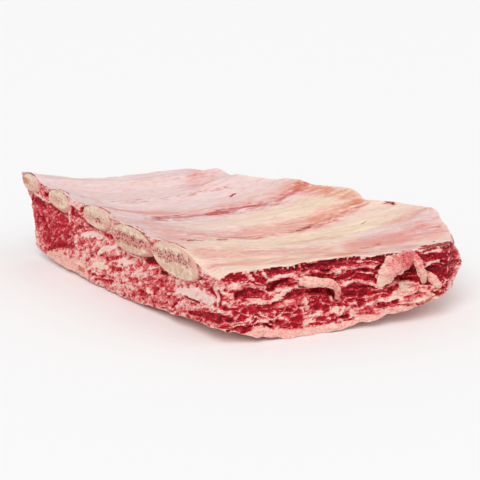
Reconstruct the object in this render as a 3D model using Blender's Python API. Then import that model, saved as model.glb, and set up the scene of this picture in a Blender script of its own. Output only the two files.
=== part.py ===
"""Raw beef short ribs: one thick slab of meat on five cut rib bones.

The slab lies bone side up. X runs along the ribs from the near saw cut to the far end, Y runs across
the ribs from the cut side of rib 5 to rib 1, and Z is up. The origin is on the surface that the slab
lies on, under the middle of its box. Design sizes are in millimetres and become metres in the meshes.
"""
import math

import bmesh
import bpy
import numpy as np

# ---------------------------------------------------------------- driving dimensions, in millimetres
MM = 0.001
GAP = 0.3                       # clearance between pieces that touch

PLAN_CENTRE = (13.141, 5.583)   # middle of the slab's plan, which becomes the origin
NEAR_Y = -111.0                 # cut side that runs beside rib 5
NEAR_WAVE = 2.0                 # how far that side waves in and out
NEAR_WAVE_RUN = 60.0            # length of one swing of it
NEAR_ROUND_X = 96.0             # where that side starts to round into the far end
NEAR_ROUND_RUN = 30.0
NEAR_ROUND_IN = 14.0
FAR_Y = 119.0                   # side that runs beside rib 1
CORNER_Y = 132.0                # where the saw cut meets that side
CORNER_X = -45.0                # where that side starts to widen to the corner
CORNER_RUN = 60.0
CUT_X = -46.0                   # saw cut through the ribs, at the near side
CUT_SLANT = 0.2420              # how far the saw cut runs back for each mm across
FAR_X = 129.5                   # furthest reach of the far end
FAR_END_Y = -107.0              # where the far end meets the near side
FAR_SLANT_Y = -34.0             # where the far end starts to slant back across the ribs
FAR_SLANT_ROUND = 8.0
FAR_SLANT = 0.60                # how far it runs back for each mm across
FAR_CURVE = 0.0009              # and how much faster it does so further on
FAR_ROUND_Y = -58.0             # where it starts to round into the near side
FAR_ROUND_CURVE = 0.0060
NOTCHES = ((-7.0, 11.0, 9.0), (38.0, 3.0, 6.0), (75.0, 12.0, 11.0))     # middle, depth, half width

TOP_NEAR = 42.3                 # height of the near corner
TOP_BONES = 49.3                # height over the bones at the saw cut
TOP_FAR = 55.8                  # height of the far end
SHOULDER = 42.0                 # width over which the near corner rises to the bones
CUT_TILT = 3.9                  # further rise of the sawn edge, from side to side
CORNER_RISE = (7.5, 70.0, 55.0)     # and of its far corner: rise, where it starts, over what width
CUT_ARCH = (3.6, 53.0, 40.0)        # arch of the sawn edge over ribs 3 and 2: rise, middle, half width
CUT_ARCH_END = 0.3                  # share of the length over which the arch dies away
END_SINK = (2.5, 35.0, 45.0)        # fall of the far end: how much, where it starts, over what width
END_CORNER_SINK = (9.5, -45.0, 66.0)
END_HOLD = 4                        # power of the length: how late the top turns to the far end's height
TOP_HOLLOW = 10.0               # how far the top sinks between its two ends
SIDE_HOLLOW = -4.0              # and how much less it does so beside rib 1
HOLLOW_LEAN = 0.9               # below 1, the hollow is deepest nearer the saw cut
LIP = 4.0                       # raised rim of the near side
LIP_WIDTH = 16.0
LIP_START = 0.06                # share of the length over which the rim rises
RIDGE = 2.8                     # how far each rib stands up under the membrane
RIDGE_WIDTH = 0.40              # half width of that ridge, as a share of the rib's width
RIDGE_NARROWING = 0.3

LIFT_CUT = (11.5, 2.5, 5.5)     # lift of the base at the saw cut: beside rib 5, in the middle, beside rib 1
LIFT_END = (9.0, 12.0)          # at the far end: beside rib 5, elsewhere
LIFT_SIDE = 11.0                # at the side beside rib 1
LIFT_NEAR = 1.0                 # at the side beside rib 5
LIFT_CORNER = 8.0               # and how much more at the corner of near side and far end
LIFT_REACH = (60.0, 60.0, 48.0, 20.0)   # how far in each lift reaches: cut, far end, far side, near side
BASE_WAVE = 0.8                 # unevenness of the base
BASE_SINK = 1.28                # how much of the base is cut flat by the surface it lies on

RIB_Y_CUT = (-67.5, -16.0, 26.0, 77.0, 118.0)     # middles of ribs 5 to 1 at the saw cut
RIB_Y_END = (-58.0, 10.0, 47.0, 75.0, 99.0)       # and at the far end
RIB_WIDTH = (51.0, 46.0, 35.0, 30.0, 18.0)
RIB_THICKNESS = (20.0, 18.0, 16.0, 13.5, 12.0)
RIB_BOW = (1.0, 1.0, 1.0, 1.0, 0.5)     # below 1, the rib leaves its side early
RIB_ROLL = (0.05, 0.0, 0.0, 0.0, 0.0)   # rise of the oval for each mm across
RIB_NAMES = (5, 4, 3, 2, 1)
RIB_COVER_CUT = 1.7             # membrane and fat over a bone at the saw cut
RIB_COVER_END = 4.8             # at its far end
RIB_COVER = 3.2                 # and between them
RIB_COVER_RUN = 0.15            # share of the length over which the cover thickens
RIB_PROUD = 1.5                 # how far the sawn bone stands out of the shrunken meat
RIB_SHORT = 2.0                 # how far it stops short of the rim of the far end
RIB_TAPER = 0.78                # width of a bone at the far end, as a share of its width at the cut
BONE_SQUARENESS = 2.15          # exponent of the oval: 2 is an ellipse, more is squarer
BONE_CORNER = 1.2               # chamfer of the sawn rim
TUNNEL_OVERRUN = 9.0            # how far a rib's tunnel is cut past the ends of its bone

FAT_THIN = 0.062                        # fat cap, as a share of the slab's height
FAT_NEAR_SIDE = (0.085, 0.25, 0.28)     # more of it at the near side: how much, middle, half width
FAT_AT_CUT = (0.055, 0.72, 0.16)        # at the saw cut
FAT_MIDDLE = 0.05                       # and in the middle

# how far each side of the plan draws in low down, as a share of the plan's length or width
DRAW_IN_CUT = 0.008
DRAW_IN_FAR_END = 0.045
DRAW_IN_FAR_SIDE = 0.062
DRAW_IN_NEAR = -0.022           # the near side's foot stands out
DRAW_IN_RUN = 0.6               # share of the height over which the sides draw in
FOOT_IN_END = 0.02              # further draw-in at the foot of the far end
CORNER_BELLY = 0.070            # how far the corner of near side and far end swells out instead
BELLY_HEIGHT = (0.5, 0.4)       # middle and half height of that swelling, as shares of the height

CRAG_NEAR = 1.5                 # relief of the torn or cut muscle on each side
CRAG_CUT = 0.7
CRAG_FAR = 1.4
CRAG_TOP = 0.5
CRAG_REACH = 0.03               # share of the plan over which a side's relief dies away inwards

# hollows in the near side: middle along X, middle height, half width, half height, depth
NEAR_HOLLOWS = (
    (79.0, 30.0, 9.0, 8.0, 9.0),       # pocket beside the torn flap
    (98.0, 35.0, 6.0, 6.0, 5.0),
    (-8.0, 33.0, 9.0, 3.0, 3.0),
    (19.0, 28.5, 12.0, 2.5, 2.2),      # crease under the finger of fat
    (50.0, 36.0, 14.0, 2.5, 2.0),
)

# hollows in the sawn face, under the bones: middle along Y, middle height, half width, half height, depth
CUT_HOLLOWS = (
    (-43.0, 34.0, 8.0, 5.0, 3.0),
    (-18.0, 30.5, 14.0, 3.0, 2.2),
    (8.0, 36.0, 5.0, 5.0, 2.5),
    (33.0, 37.0, 12.0, 3.0, 2.0),
    (79.0, 41.0, 12.0, 3.0, 1.6),
)

U_CELLS = 26
V_CELLS = 28
MEAT_LAYERS = 8
FAT_LAYERS = 2
BONE_SIDES = 16
BONE_RINGS = 9
STRIP_SIDES = 8
STRIP_RINGS = 8


# ---------------------------------------------------------------- small helpers
def smooth(t):
    """Rise from 0 to 1 with level ends: 3t^2 - 2t^3 on the clipped parameter."""
    t = np.clip(t, 0.0, 1.0)
    return t * t * (3.0 - 2.0 * t)


def bump(t, centre, width):
    """Bell curve of height 1."""
    return np.exp(-((t - centre) / width) ** 2)


def bend(t, width):
    """Zero below 0 and t above it, with a rounded corner of the given width."""
    return width * np.logaddexp(0.0, t / width)


def mix(a, b, t):
    return a + (b - a) * t


def bezier(points, t):
    """Smooth curve drawn towards its control points: each is weighted by a Bernstein polynomial."""
    last = len(points) - 1
    weights = [math.comb(last, k) * t ** k * (1.0 - t) ** (last - k) for k in range(last + 1)]
    return np.stack(weights, -1) @ points


def crags(a, b):
    """Uneven bundles of muscle: three slanting waves of unlike length, about -1 to 1."""
    long_wave = 0.50 * np.sin(2.0 * math.pi * (a / 27.0 + b / 60.0))
    short_wave = 0.30 * np.sin(2.0 * math.pi * (a / 13.0 - b / 24.0) + 1.3)
    cross_wave = 0.30 * np.sin(2.0 * math.pi * (a / 19.0 + b / 15.0) + 2.1)
    return long_wave + short_wave + cross_wave


# ---------------------------------------------------------------- outline of the slab, seen from above
def cut_x(y):
    """The saw cut is a straight line that slants back across the ribs."""
    return CUT_X - CUT_SLANT * (y - NEAR_Y)


def far_x(y):
    """The far end: level beside rib 5, then a slanting run with a notch between each pair of ribs."""
    run = bend(y - FAR_SLANT_Y, FAR_SLANT_ROUND)
    x = FAR_X - FAR_SLANT * run - FAR_CURVE * run * run
    for middle, depth, width in NOTCHES:
        x = x - depth * bump(y, middle, width)
    return x - FAR_ROUND_CURVE * np.maximum(0.0, FAR_ROUND_Y - y) ** 2


def near_y(x):
    """The near side: almost straight, then rounded into the far end."""
    wave = NEAR_WAVE * np.sin(math.pi * (x / NEAR_WAVE_RUN - 1.0))
    return NEAR_Y - wave + NEAR_ROUND_IN * smooth((x - NEAR_ROUND_X) / NEAR_ROUND_RUN) ** 2


def far_y(x):
    """The far side: straight, then widening to the saw cut."""
    return FAR_Y + (CORNER_Y - FAR_Y) * smooth((CORNER_X - x) / CORNER_RUN)


def edge_cut(v):
    y = mix(near_y(CUT_X), CORNER_Y, v)
    return np.stack([cut_x(y), y], -1)


def edge_far_end(v):
    y = mix(FAR_END_Y, FAR_Y, v)
    return np.stack([far_x(y), y], -1)


def edge_near_side(u):
    start, end = edge_cut(np.array(0.0)), edge_far_end(np.array(0.0))
    x = mix(start[0], end[0], u)
    return np.stack([x, near_y(x) + (end[1] - near_y(end[0])) * u ** 6], -1)


def edge_far_side(u):
    start, end = edge_cut(np.array(1.0)), edge_far_end(np.array(1.0))
    x = mix(start[0], end[0], u)
    to_start = (start[1] - far_y(start[0])) * (1.0 - u) ** 4
    to_end = (end[1] - far_y(end[0])) * u ** 4
    return np.stack([x, far_y(x) + to_start + to_end], -1)


def plan(u, v):
    """Blend the four edges: u runs along the ribs and v across them, both from 0 to 1."""
    corner = [[edge_near_side(np.array(0.0)), edge_far_side(np.array(0.0))],
              [edge_near_side(np.array(1.0)), edge_far_side(np.array(1.0))]]
    along, across = u[..., None], v[..., None]
    blend = mix(edge_near_side(u), edge_far_side(u), across)
    blend = blend + mix(edge_cut(v), edge_far_end(v), along)
    return blend - mix(mix(corner[0][0], corner[0][1], across),
                       mix(corner[1][0], corner[1][1], across), along)


# ---------------------------------------------------------------- heights
def along_ribs(x, y):
    """0 at the saw cut and 1 at the far end."""
    return np.clip((x - cut_x(y)) / (far_x(y) - cut_x(y)), 0.0, 1.05)


def rib_line(rib, t):
    """Middle of a rib across the slab, at a share t of its length."""
    return mix(RIB_Y_CUT[rib], RIB_Y_END[rib], np.clip(t, 0.0, 1.0) ** RIB_BOW[rib])


def top_z(x, y):
    """The bone side: high at both ends, hollow between them, with a low ridge over each rib."""
    t = along_ribs(x, y)
    across = y - NEAR_Y
    at_cut = mix(TOP_NEAR, TOP_BONES, smooth((across - 1.0) / SHOULDER))
    at_cut = at_cut + CUT_TILT * np.clip(across / (CORNER_Y - NEAR_Y), 0.0, 1.1)
    at_cut = at_cut + CORNER_RISE[0] * smooth((y - CORNER_RISE[1]) / CORNER_RISE[2])
    at_cut = at_cut + CUT_ARCH[0] * bump(y, *CUT_ARCH[1:]) * (1.0 - smooth(t / CUT_ARCH_END))
    at_end = TOP_FAR - END_SINK[0] * smooth((END_SINK[1] - y) / END_SINK[2])
    at_end = at_end - END_CORNER_SINK[0] * smooth((END_CORNER_SINK[1] - y) / END_CORNER_SINK[2])
    hollow = TOP_HOLLOW * smooth((across - 4.0) / 60.0) + SIDE_HOLLOW * smooth((y - 60.0) / 50.0)
    z = mix(at_cut, at_end, t ** END_HOLD)
    z = z - hollow * np.sin(math.pi * np.clip(t, 0.0, 1.0) ** HOLLOW_LEAN)
    z = z + LIP * bump(y, NEAR_Y, LIP_WIDTH) * smooth(t / LIP_START)
    for rib, width in enumerate(RIB_WIDTH):
        z = z + RIDGE * bump(y, rib_line(rib, t), RIDGE_WIDTH * width * (1.0 - RIDGE_NARROWING * t))
    return z


def bottom_z(x, y):
    """The fat side: flat in the middle and lifted towards every edge."""
    inside = (x - cut_x(y), far_x(y) - x, far_y(x) - y, y - near_y(x))
    near_edge = [np.clip(1.0 - distance / reach, 0.0, 1.0) for distance, reach in zip(inside, LIFT_REACH)]
    from_cut, from_end, from_side, from_near = near_edge
    across = (y - NEAR_Y) / (CORNER_Y - NEAR_Y)
    lift_cut = mix(LIFT_CUT[0], LIFT_CUT[1], smooth(across / 0.5))
    lift_cut = lift_cut + (LIFT_CUT[2] - LIFT_CUT[1]) * smooth((across - 0.55) / 0.35)
    lift_end = mix(LIFT_END[1], LIFT_END[0], smooth((-70.0 - y) / 30.0))
    z = lift_cut * from_cut ** 2 + lift_end * from_end ** 2.4
    z = z + LIFT_SIDE * from_side ** 2 + LIFT_NEAR * from_near ** 2
    z = z + LIFT_CORNER * smooth((x - 15.0) / 65.0) * smooth((-60.0 - y) / 50.0)
    return np.maximum(z + BASE_WAVE * crags(1.4 * x, 0.6 * y) - BASE_SINK, 0.0)


def fat_share(u, v):
    """Height at which the fat cap gives way to meat, as a share of the slab's height."""
    share = FAT_THIN + FAT_NEAR_SIDE[0] * bump(u, *FAT_NEAR_SIDE[1:]) * (1.0 - v) ** 2
    share = share + FAT_AT_CUT[0] * bump(v, *FAT_AT_CUT[1:]) * (1.0 - u)
    return share + FAT_MIDDLE * np.sin(math.pi * u) * np.sin(math.pi * v)


# ---------------------------------------------------------------- the slab as one mapping of a unit block
def hollows(places, a, z):
    """Depth of a set of bell-shaped hollows on a side: a runs along it and z is the height."""
    depth = 0.0
    for middle_a, middle_z, half_width, half_height, deepest in places:
        depth = depth + deepest * bump(a, middle_a, half_width) * bump(z, middle_z, half_height)
    return depth


def slab(u, v, w):
    """Place points of a unit block: (u, v) in the plan, w from the base to the top."""
    low = smooth((1.0 - w) / DRAW_IN_RUN)
    foot = (1.0 - w) ** 2
    belly = CORNER_BELLY * bump(w, *BELLY_HEIGHT) * smooth((1.0 - w) / 0.1)
    in_cut = DRAW_IN_CUT * low
    in_end = mix(DRAW_IN_FAR_END * low + FOOT_IN_END * foot, -belly, (1.0 - v) ** 4)
    in_near = DRAW_IN_NEAR * foot * np.sin(math.pi * u)
    in_side = DRAW_IN_FAR_SIDE * low
    spot = plan(in_cut + (1.0 - in_cut - in_end) * u, in_near + (1.0 - in_near - in_side) * v)
    x, y = spot[..., 0], spot[..., 1]
    top = top_z(x, y) + CRAG_TOP * crags(0.45 * x, 1.3 * y + 9.0)
    z = mix(bottom_z(x, y), top, w)

    near = (CRAG_NEAR * crags(x, 1.6 * z) - hollows(NEAR_HOLLOWS, x, z)) * np.exp(-v / CRAG_REACH)
    cut = (CRAG_CUT * crags(0.8 * y, 1.5 * z) - hollows(CUT_HOLLOWS, y, z)) * np.exp(-u / CRAG_REACH)
    end = CRAG_FAR * crags(0.7 * y, 1.5 * z + 11.0) * np.exp(-(1.0 - u) / CRAG_REACH)
    side = CRAG_FAR * crags(0.8 * x, 1.5 * z + 23.0) * np.exp(-(1.0 - v) / CRAG_REACH)
    return np.stack([x - cut + 0.86 * end, y - near + 0.5 * end + side, z], -1)


# ---------------------------------------------------------------- mesh making
def to_metres(points):
    centred = points - np.array([PLAN_CENTRE[0], PLAN_CENTRE[1], 0.0])
    return centred * MM


def finish(name, bm, material):
    """Turn a bmesh into a named object that is smooth except at its sharp edges."""
    bmesh.ops.recalc_face_normals(bm, faces=bm.faces)
    mesh = bpy.data.meshes.new(name)
    bm.to_mesh(mesh)
    bm.free()
    mesh.shade_smooth()
    mesh.set_sharp_from_angle(angle=math.radians(40.0))
    if material:
        mesh.materials.append(material)
    body = bpy.data.objects.new(name, mesh)
    bpy.context.scene.collection.objects.link(body)
    return body


def sliced_block(layers):
    """A unit block sliced into a grid of cells; its points hold (u, v, layer) from 0 to 1.

    Each cell is split along the same diagonal, so that two blocks that meet have matching faces.
    """
    bm = bmesh.new()
    bmesh.ops.create_cube(bm, size=1.0)
    bmesh.ops.translate(bm, verts=bm.verts, vec=(0.5, 0.5, 0.5))
    for axis, cells in enumerate((U_CELLS, V_CELLS, layers)):
        normal = [0.0, 0.0, 0.0]
        normal[axis] = 1.0
        for cell in range(1, cells):
            place = [cell / cells * part for part in normal]
            geometry = bm.verts[:] + bm.edges[:] + bm.faces[:]
            bmesh.ops.bisect_plane(bm, geom=geometry, plane_co=place, plane_no=normal)
    for face in list(bm.faces):
        corners = sorted(face.verts, key=lambda vert: sum(vert.co))
        bmesh.utils.face_split(face, corners[0], corners[-1])
    return bm


def mapped(bm, mapping):
    """Move every point of a sliced block by a mapping of its (u, v, layer)."""
    block = np.array([vert.co[:] for vert in bm.verts])
    for vert, place in zip(bm.verts, to_metres(mapping(*block.T))):
        vert.co = place
    return bm


def tube(rings):
    """Skin closed rings of points into a capped tube, each end closed by a fan."""
    bm = bmesh.new()
    loops = [[bm.verts.new(point) for point in to_metres(ring)] for ring in rings]
    sides = len(loops[0])
    for loop, following in zip(loops, loops[1:]):
        for side in range(sides):
            after = (side + 1) % sides
            bm.faces.new((loop[side], loop[after], following[after], following[side]))
    for loop in (loops[0], loops[-1]):
        cap = bm.faces.new(loop)
        bmesh.ops.poke(bm, faces=[cap])
    return bm


# ---------------------------------------------------------------- the pieces
def fat_layer(u, v, layer):
    return slab(u, v, fat_share(u, v) * layer)


def meat_layer(u, v, layer):
    column = slab(u, v, np.ones_like(u))[..., 2] - slab(u, v, np.zeros_like(u))[..., 2]
    start = fat_share(u, v) + GAP / column
    return slab(u, v, mix(start, 1.0, layer))


def rib_ring(rib, t, grow, shift):
    """Oval ring of one rib at a share t of its length, grown all round and shifted along the rib."""
    angles = np.linspace(0.0, 2.0 * math.pi, BONE_SIDES, endpoint=False)
    power = 2.0 / BONE_SQUARENESS
    across = np.sign(np.cos(angles)) * np.abs(np.cos(angles)) ** power
    upward = np.sign(np.sin(angles)) * np.abs(np.sin(angles)) ** power
    half_width = RIB_WIDTH[rib] / 2.0 * mix(1.0, RIB_TAPER, t)
    half_height = RIB_THICKNESS[rib] / 2.0
    middle_y = rib_line(rib, t)
    aside = (half_width + grow) * across
    end_slant = (far_x(middle_y + half_width) - far_x(middle_y - half_width)) / (2.0 * half_width)
    start = cut_x(middle_y + aside) - RIB_PROUD + BONE_CORNER
    end = far_x(middle_y) + end_slant * aside - RIB_SHORT - BONE_CORNER
    middle_x = mix(cut_x(middle_y), far_x(middle_y), t)
    at_ends = mix(RIB_COVER_CUT, RIB_COVER_END, t)
    cover = mix(at_ends, RIB_COVER, smooth(np.minimum(t, 1.0 - t) / RIB_COVER_RUN))
    middle_z = top_z(middle_x, middle_y) - cover - half_height
    z = middle_z + RIB_ROLL[rib] * aside + (half_height + grow) * upward
    return np.stack([mix(start, end, t) + shift, middle_y + aside, z], -1)


def rib_rings(rib, grow, end_grow, end_shift):
    """Rings along one rib, following the slab's hollow top, with an extra ring past each end."""
    rings = [rib_ring(rib, t, grow, 0.0) for t in np.linspace(0.0, 1.0, BONE_RINGS)]
    return [rib_ring(rib, 0.0, end_grow, -end_shift)] + rings + [rib_ring(rib, 1.0, end_grow, end_shift)]


def strip_rings(path, widths, thicknesses):
    """Flat oval rings along a path of (x, out, z), where out is measured from the near side."""
    angles = np.linspace(0.0, 2.0 * math.pi, STRIP_SIDES, endpoint=False)
    share = np.linspace(0.0, 1.0, STRIP_RINGS)
    x, out, z = bezier(np.array(path), share).T
    spots = np.stack([x, near_y(x) - out, z], -1)
    heading = np.gradient(spots, axis=0)
    across = bezier(np.array(widths)[:, None], share)[:, 0]
    through = bezier(np.array(thicknesses)[:, None], share)[:, 0]
    rings = []
    for spot, way, width, thickness in zip(spots, heading, across, through):
        flat = np.array([-way[2], 0.0, way[0]])
        flat = flat / np.linalg.norm(flat)
        outward = np.cross(way / np.linalg.norm(way), flat)
        wide = np.outer(np.cos(angles) * width / 2.0, flat)
        thick = np.outer(np.sin(angles) * thickness / 2.0, outward)
        rings.append(spot + wide + thick)
    return rings


# strips torn loose on the near side: control points (x, out, z), then widths and thicknesses along them
STRIPS = {
    "torn_flap": (
        ((90.0, -5.0, 42.5), (82.0, 4.0, 42.5), (70.0, 7.2, 42.0), (66.0, 6.5, 34.0), (62.0, 1.5, 26.0)),
        (4.0, 10.0, 24.0, 18.0, 5.0),
        (4.0, 6.0, 6.5, 5.5, 3.0),
    ),
    "fat_finger": (
        ((2.0, -4.0, 37.0), (12.0, 3.5, 36.5), (24.0, 3.5, 33.0), (36.0, 6.0, 34.0), (32.5, 1.5, 21.0)),
        (4.0, 7.0, 6.5, 7.5, 3.5),
        (4.0, 5.5, 5.5, 6.0, 3.0),
    ),
    "strand_upper": (
        ((84.5, -4.0, 45.0), (86.0, 3.0, 42.0), (88.0, 4.0, 35.0), (91.5, 2.5, 28.0), (95.0, -4.0, 23.0)),
        (4.0, 6.0, 6.0, 6.5, 4.0),
        (4.0, 4.5, 4.5, 4.0, 3.5),
    ),
    "strand_lower": (
        ((94.0, -5.0, 30.0), (97.0, 3.0, 28.0), (101.0, 3.5, 25.0), (103.0, 2.5, 20.5), (104.5, -3.0, 20.0)),
        (4.0, 7.0, 6.5, 6.0, 4.0),
        (3.5, 4.5, 4.5, 4.0, 3.0),
    ),
}


# ---------------------------------------------------------------- materials and assembly
def material(name, colour, roughness):
    finish_of = bpy.data.materials.new(name)
    finish_of.use_nodes = True
    shader = finish_of.node_tree.nodes["Principled BSDF"]
    shader.inputs["Base Color"].default_value = (*colour, 1.0)
    shader.inputs["Roughness"].default_value = roughness
    shader.inputs["Metallic"].default_value = 0.0
    return finish_of


def tool_collection(name, bodies):
    """Keep Boolean operands together, out of renders and drawn as wires."""
    collection = bpy.data.collections.new(name)
    bpy.context.scene.collection.children.link(collection)
    for body in bodies:
        bpy.context.scene.collection.objects.unlink(body)
        collection.objects.link(body)
        body.hide_render = True
        body.display_type = "WIRE"
    return collection


def combine(body, operation, collection):
    boolean = body.modifiers.new(f"{operation.lower()} {collection.name}", "BOOLEAN")
    boolean.operation = operation
    boolean.operand_type = "COLLECTION"
    boolean.collection = collection
    boolean.solver = "EXACT"


def main():
    for old in list(bpy.data.objects):
        bpy.data.objects.remove(old)
    raw_meat = material("raw_meat", (0.55, 0.10, 0.10), 0.4)
    fat = material("fat", (0.85, 0.72, 0.60), 0.45)
    bone = material("bone", (0.80, 0.68, 0.52), 0.5)

    meat = finish("meat", mapped(sliced_block(MEAT_LAYERS), meat_layer), raw_meat)
    finish("fat_cap", mapped(sliced_block(FAT_LAYERS), fat_layer), fat)

    strips = [finish(name, tube(strip_rings(*form)), raw_meat) for name, form in STRIPS.items()]
    combine(meat, "UNION", tool_collection("torn_strips", strips))

    tunnels = []
    for rib, number in enumerate(RIB_NAMES):
        finish(f"rib_bone_{number}", tube(rib_rings(rib, 0.0, -BONE_CORNER, BONE_CORNER)), bone)
        tunnel = tube(rib_rings(rib, GAP, GAP, TUNNEL_OVERRUN))
        tunnels.append(finish(f"rib_tunnel_{number}", tunnel, None))
    combine(meat, "DIFFERENCE", tool_collection("rib_tunnels", tunnels))


main()
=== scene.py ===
# %% [markdown]
# # Raw beef short ribs
#
# The object is one slab of raw beef: five rib bones side by side, bone side up, with the marbled meat
# hanging under them and a soft cap of fat below. The lesson dresses a plain solid model of the slab with
# fine surfaces. Every surface is a function of two parameters, worked out with numpy as whole arrays.

# %% Open the solid model
import itertools
import math

import bpy
import numpy as np
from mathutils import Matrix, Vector


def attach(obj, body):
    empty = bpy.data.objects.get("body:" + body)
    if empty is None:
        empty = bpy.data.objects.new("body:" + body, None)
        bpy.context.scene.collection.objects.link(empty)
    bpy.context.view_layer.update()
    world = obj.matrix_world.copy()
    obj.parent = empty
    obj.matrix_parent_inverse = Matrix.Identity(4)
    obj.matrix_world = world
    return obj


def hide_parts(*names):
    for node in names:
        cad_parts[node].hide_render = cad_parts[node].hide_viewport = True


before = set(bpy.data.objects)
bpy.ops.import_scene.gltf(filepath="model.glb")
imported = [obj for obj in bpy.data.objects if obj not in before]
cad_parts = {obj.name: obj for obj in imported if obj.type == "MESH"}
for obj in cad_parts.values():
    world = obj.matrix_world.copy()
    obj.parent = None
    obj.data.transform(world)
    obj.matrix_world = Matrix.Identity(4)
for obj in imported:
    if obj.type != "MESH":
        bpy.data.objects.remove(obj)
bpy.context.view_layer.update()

# %% [markdown]
# ## The slab's sizes
#
# All sizes are in millimetres and become metres when a mesh is made. X runs along the ribs from the saw
# cut to the far end, Y runs across the ribs, and Z is up. They are the solid model's own driving sizes,
# so that the fine surfaces lie where the solids are.

# %% Driving sizes of the slab
MM = 0.001
PLAN_CENTRE = (13.141, 5.583)   # middle of the slab's plan, which becomes the origin
NEAR_Y = -111.0                 # cut side that runs beside rib 5
NEAR_WAVE = 2.0                 # how far that side waves in and out
NEAR_WAVE_RUN = 60.0            # length of one swing of it
NEAR_ROUND_X = 96.0             # where that side starts to round into the far end
NEAR_ROUND_RUN = 30.0
NEAR_ROUND_IN = 14.0
FAR_Y = 119.0                   # side that runs beside rib 1
CORNER_Y = 132.0                # where the saw cut meets that side
CORNER_X = -45.0                # where that side starts to widen to the corner
CORNER_RUN = 60.0
CUT_X = -46.0                   # saw cut through the ribs, at the near side
CUT_SLANT = 0.2420              # how far the saw cut runs back for each mm across
FAR_X = 129.5                   # furthest reach of the far end
FAR_END_Y = -107.0              # where the far end meets the near side
FAR_SLANT_Y = -34.0             # where the far end starts to slant back across the ribs
FAR_SLANT_ROUND = 8.0
FAR_SLANT = 0.60                # how far it runs back for each mm across
FAR_CURVE = 0.0009              # and how much faster it does so further on
FAR_ROUND_Y = -58.0             # where it starts to round into the near side
FAR_ROUND_CURVE = 0.0060
NOTCHES = ((-7.0, 11.0, 9.0), (38.0, 3.0, 6.0), (75.0, 12.0, 11.0))     # middle, depth, half width

TOP_NEAR = 42.3                 # height of the near corner
TOP_BONES = 49.3                # height over the bones at the saw cut
TOP_FAR = 55.8                  # height of the far end
SHOULDER = 42.0                 # width over which the near corner rises to the bones
CUT_TILT = 3.9                  # further rise of the sawn edge, from side to side
CORNER_RISE = (7.5, 70.0, 55.0)     # and of its far corner: rise, where it starts, over what width
CUT_ARCH = (3.6, 53.0, 40.0)        # arch of the sawn edge over ribs 3 and 2: rise, middle, half width
CUT_ARCH_END = 0.3                  # share of the length over which the arch dies away
END_SINK = (2.5, 35.0, 45.0)        # fall of the far end: how much, where it starts, over what width
END_CORNER_SINK = (9.5, -45.0, 66.0)
END_HOLD = 4                        # power of the length: how late the top turns to the far end's height
TOP_HOLLOW = 10.0               # how far the top sinks between its two ends
SIDE_HOLLOW = -4.0              # and how much less it does so beside rib 1
HOLLOW_LEAN = 0.9               # below 1, the hollow is deepest nearer the saw cut
LIP = 4.0                       # raised rim of the near side
LIP_WIDTH = 16.0
LIP_START = 0.06                # share of the length over which the rim rises
RIDGE = 2.8                     # how far each rib stands up under the membrane
RIDGE_WIDTH = 0.40              # half width of that ridge, as a share of the rib's width
RIDGE_NARROWING = 0.3

LIFT_CUT = (11.5, 2.5, 5.5)     # lift of the base at the saw cut: beside rib 5, in the middle, beside rib 1
LIFT_END = (9.0, 12.0)          # at the far end: beside rib 5, elsewhere
LIFT_SIDE = 11.0                # at the side beside rib 1
LIFT_NEAR = 1.0                 # at the side beside rib 5
LIFT_CORNER = 8.0               # and how much more at the corner of near side and far end
LIFT_REACH = (60.0, 60.0, 48.0, 20.0)   # how far in each lift reaches: cut, far end, far side, near side
BASE_WAVE = 0.8                 # unevenness of the base
BASE_SINK = 1.28                # how much of the base is cut flat by the surface it lies on

FAT_THIN = 0.062                        # fat cap, as a share of the slab's height
FAT_NEAR_SIDE = (0.085, 0.25, 0.28)     # more of it at the near side: how much, middle, half width
FAT_AT_CUT = (0.055, 0.72, 0.16)        # at the saw cut
FAT_MIDDLE = 0.05                       # and in the middle

# how far each side of the plan draws in low down, as a share of the plan's length or width
DRAW_IN_CUT = 0.008
DRAW_IN_FAR_END = 0.045
DRAW_IN_FAR_SIDE = 0.062
DRAW_IN_NEAR = -0.022           # the near side's foot stands out
DRAW_IN_RUN = 0.6               # share of the height over which the sides draw in
FOOT_IN_END = 0.02              # further draw-in at the foot of the far end
CORNER_BELLY = 0.070            # how far the corner of near side and far end swells out instead
BELLY_HEIGHT = (0.5, 0.4)       # middle and half height of that swelling, as shares of the height

CRAG_NEAR = 1.5                 # relief of the torn or cut muscle on each side
CRAG_CUT = 0.7
CRAG_FAR = 1.4
CRAG_TOP = 0.5
CRAG_REACH = 0.03               # share of the plan over which a side's relief dies away inwards

# hollows in the near side: middle along X, middle height, half width, half height, depth
NEAR_HOLLOWS = (
    (79.0, 30.0, 9.0, 8.0, 9.0),       # pocket beside the torn flap
    (98.0, 35.0, 6.0, 6.0, 5.0),
    (-8.0, 33.0, 9.0, 3.0, 3.0),
    (19.0, 28.5, 12.0, 2.5, 2.2),      # crease under the finger of fat
    (50.0, 36.0, 14.0, 2.5, 2.0),
)

# hollows in the sawn face, under the bones: middle along Y, middle height, half width, half height, depth
CUT_HOLLOWS = (
    (-43.0, 34.0, 8.0, 5.0, 3.0),
    (-18.0, 30.5, 14.0, 3.0, 2.2),
    (8.0, 36.0, 5.0, 5.0, 2.5),
    (33.0, 37.0, 12.0, 3.0, 2.0),
    (79.0, 41.0, 12.0, 3.0, 1.6),
)
print("sawn face:", CORNER_Y - NEAR_Y, "mm across")

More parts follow.
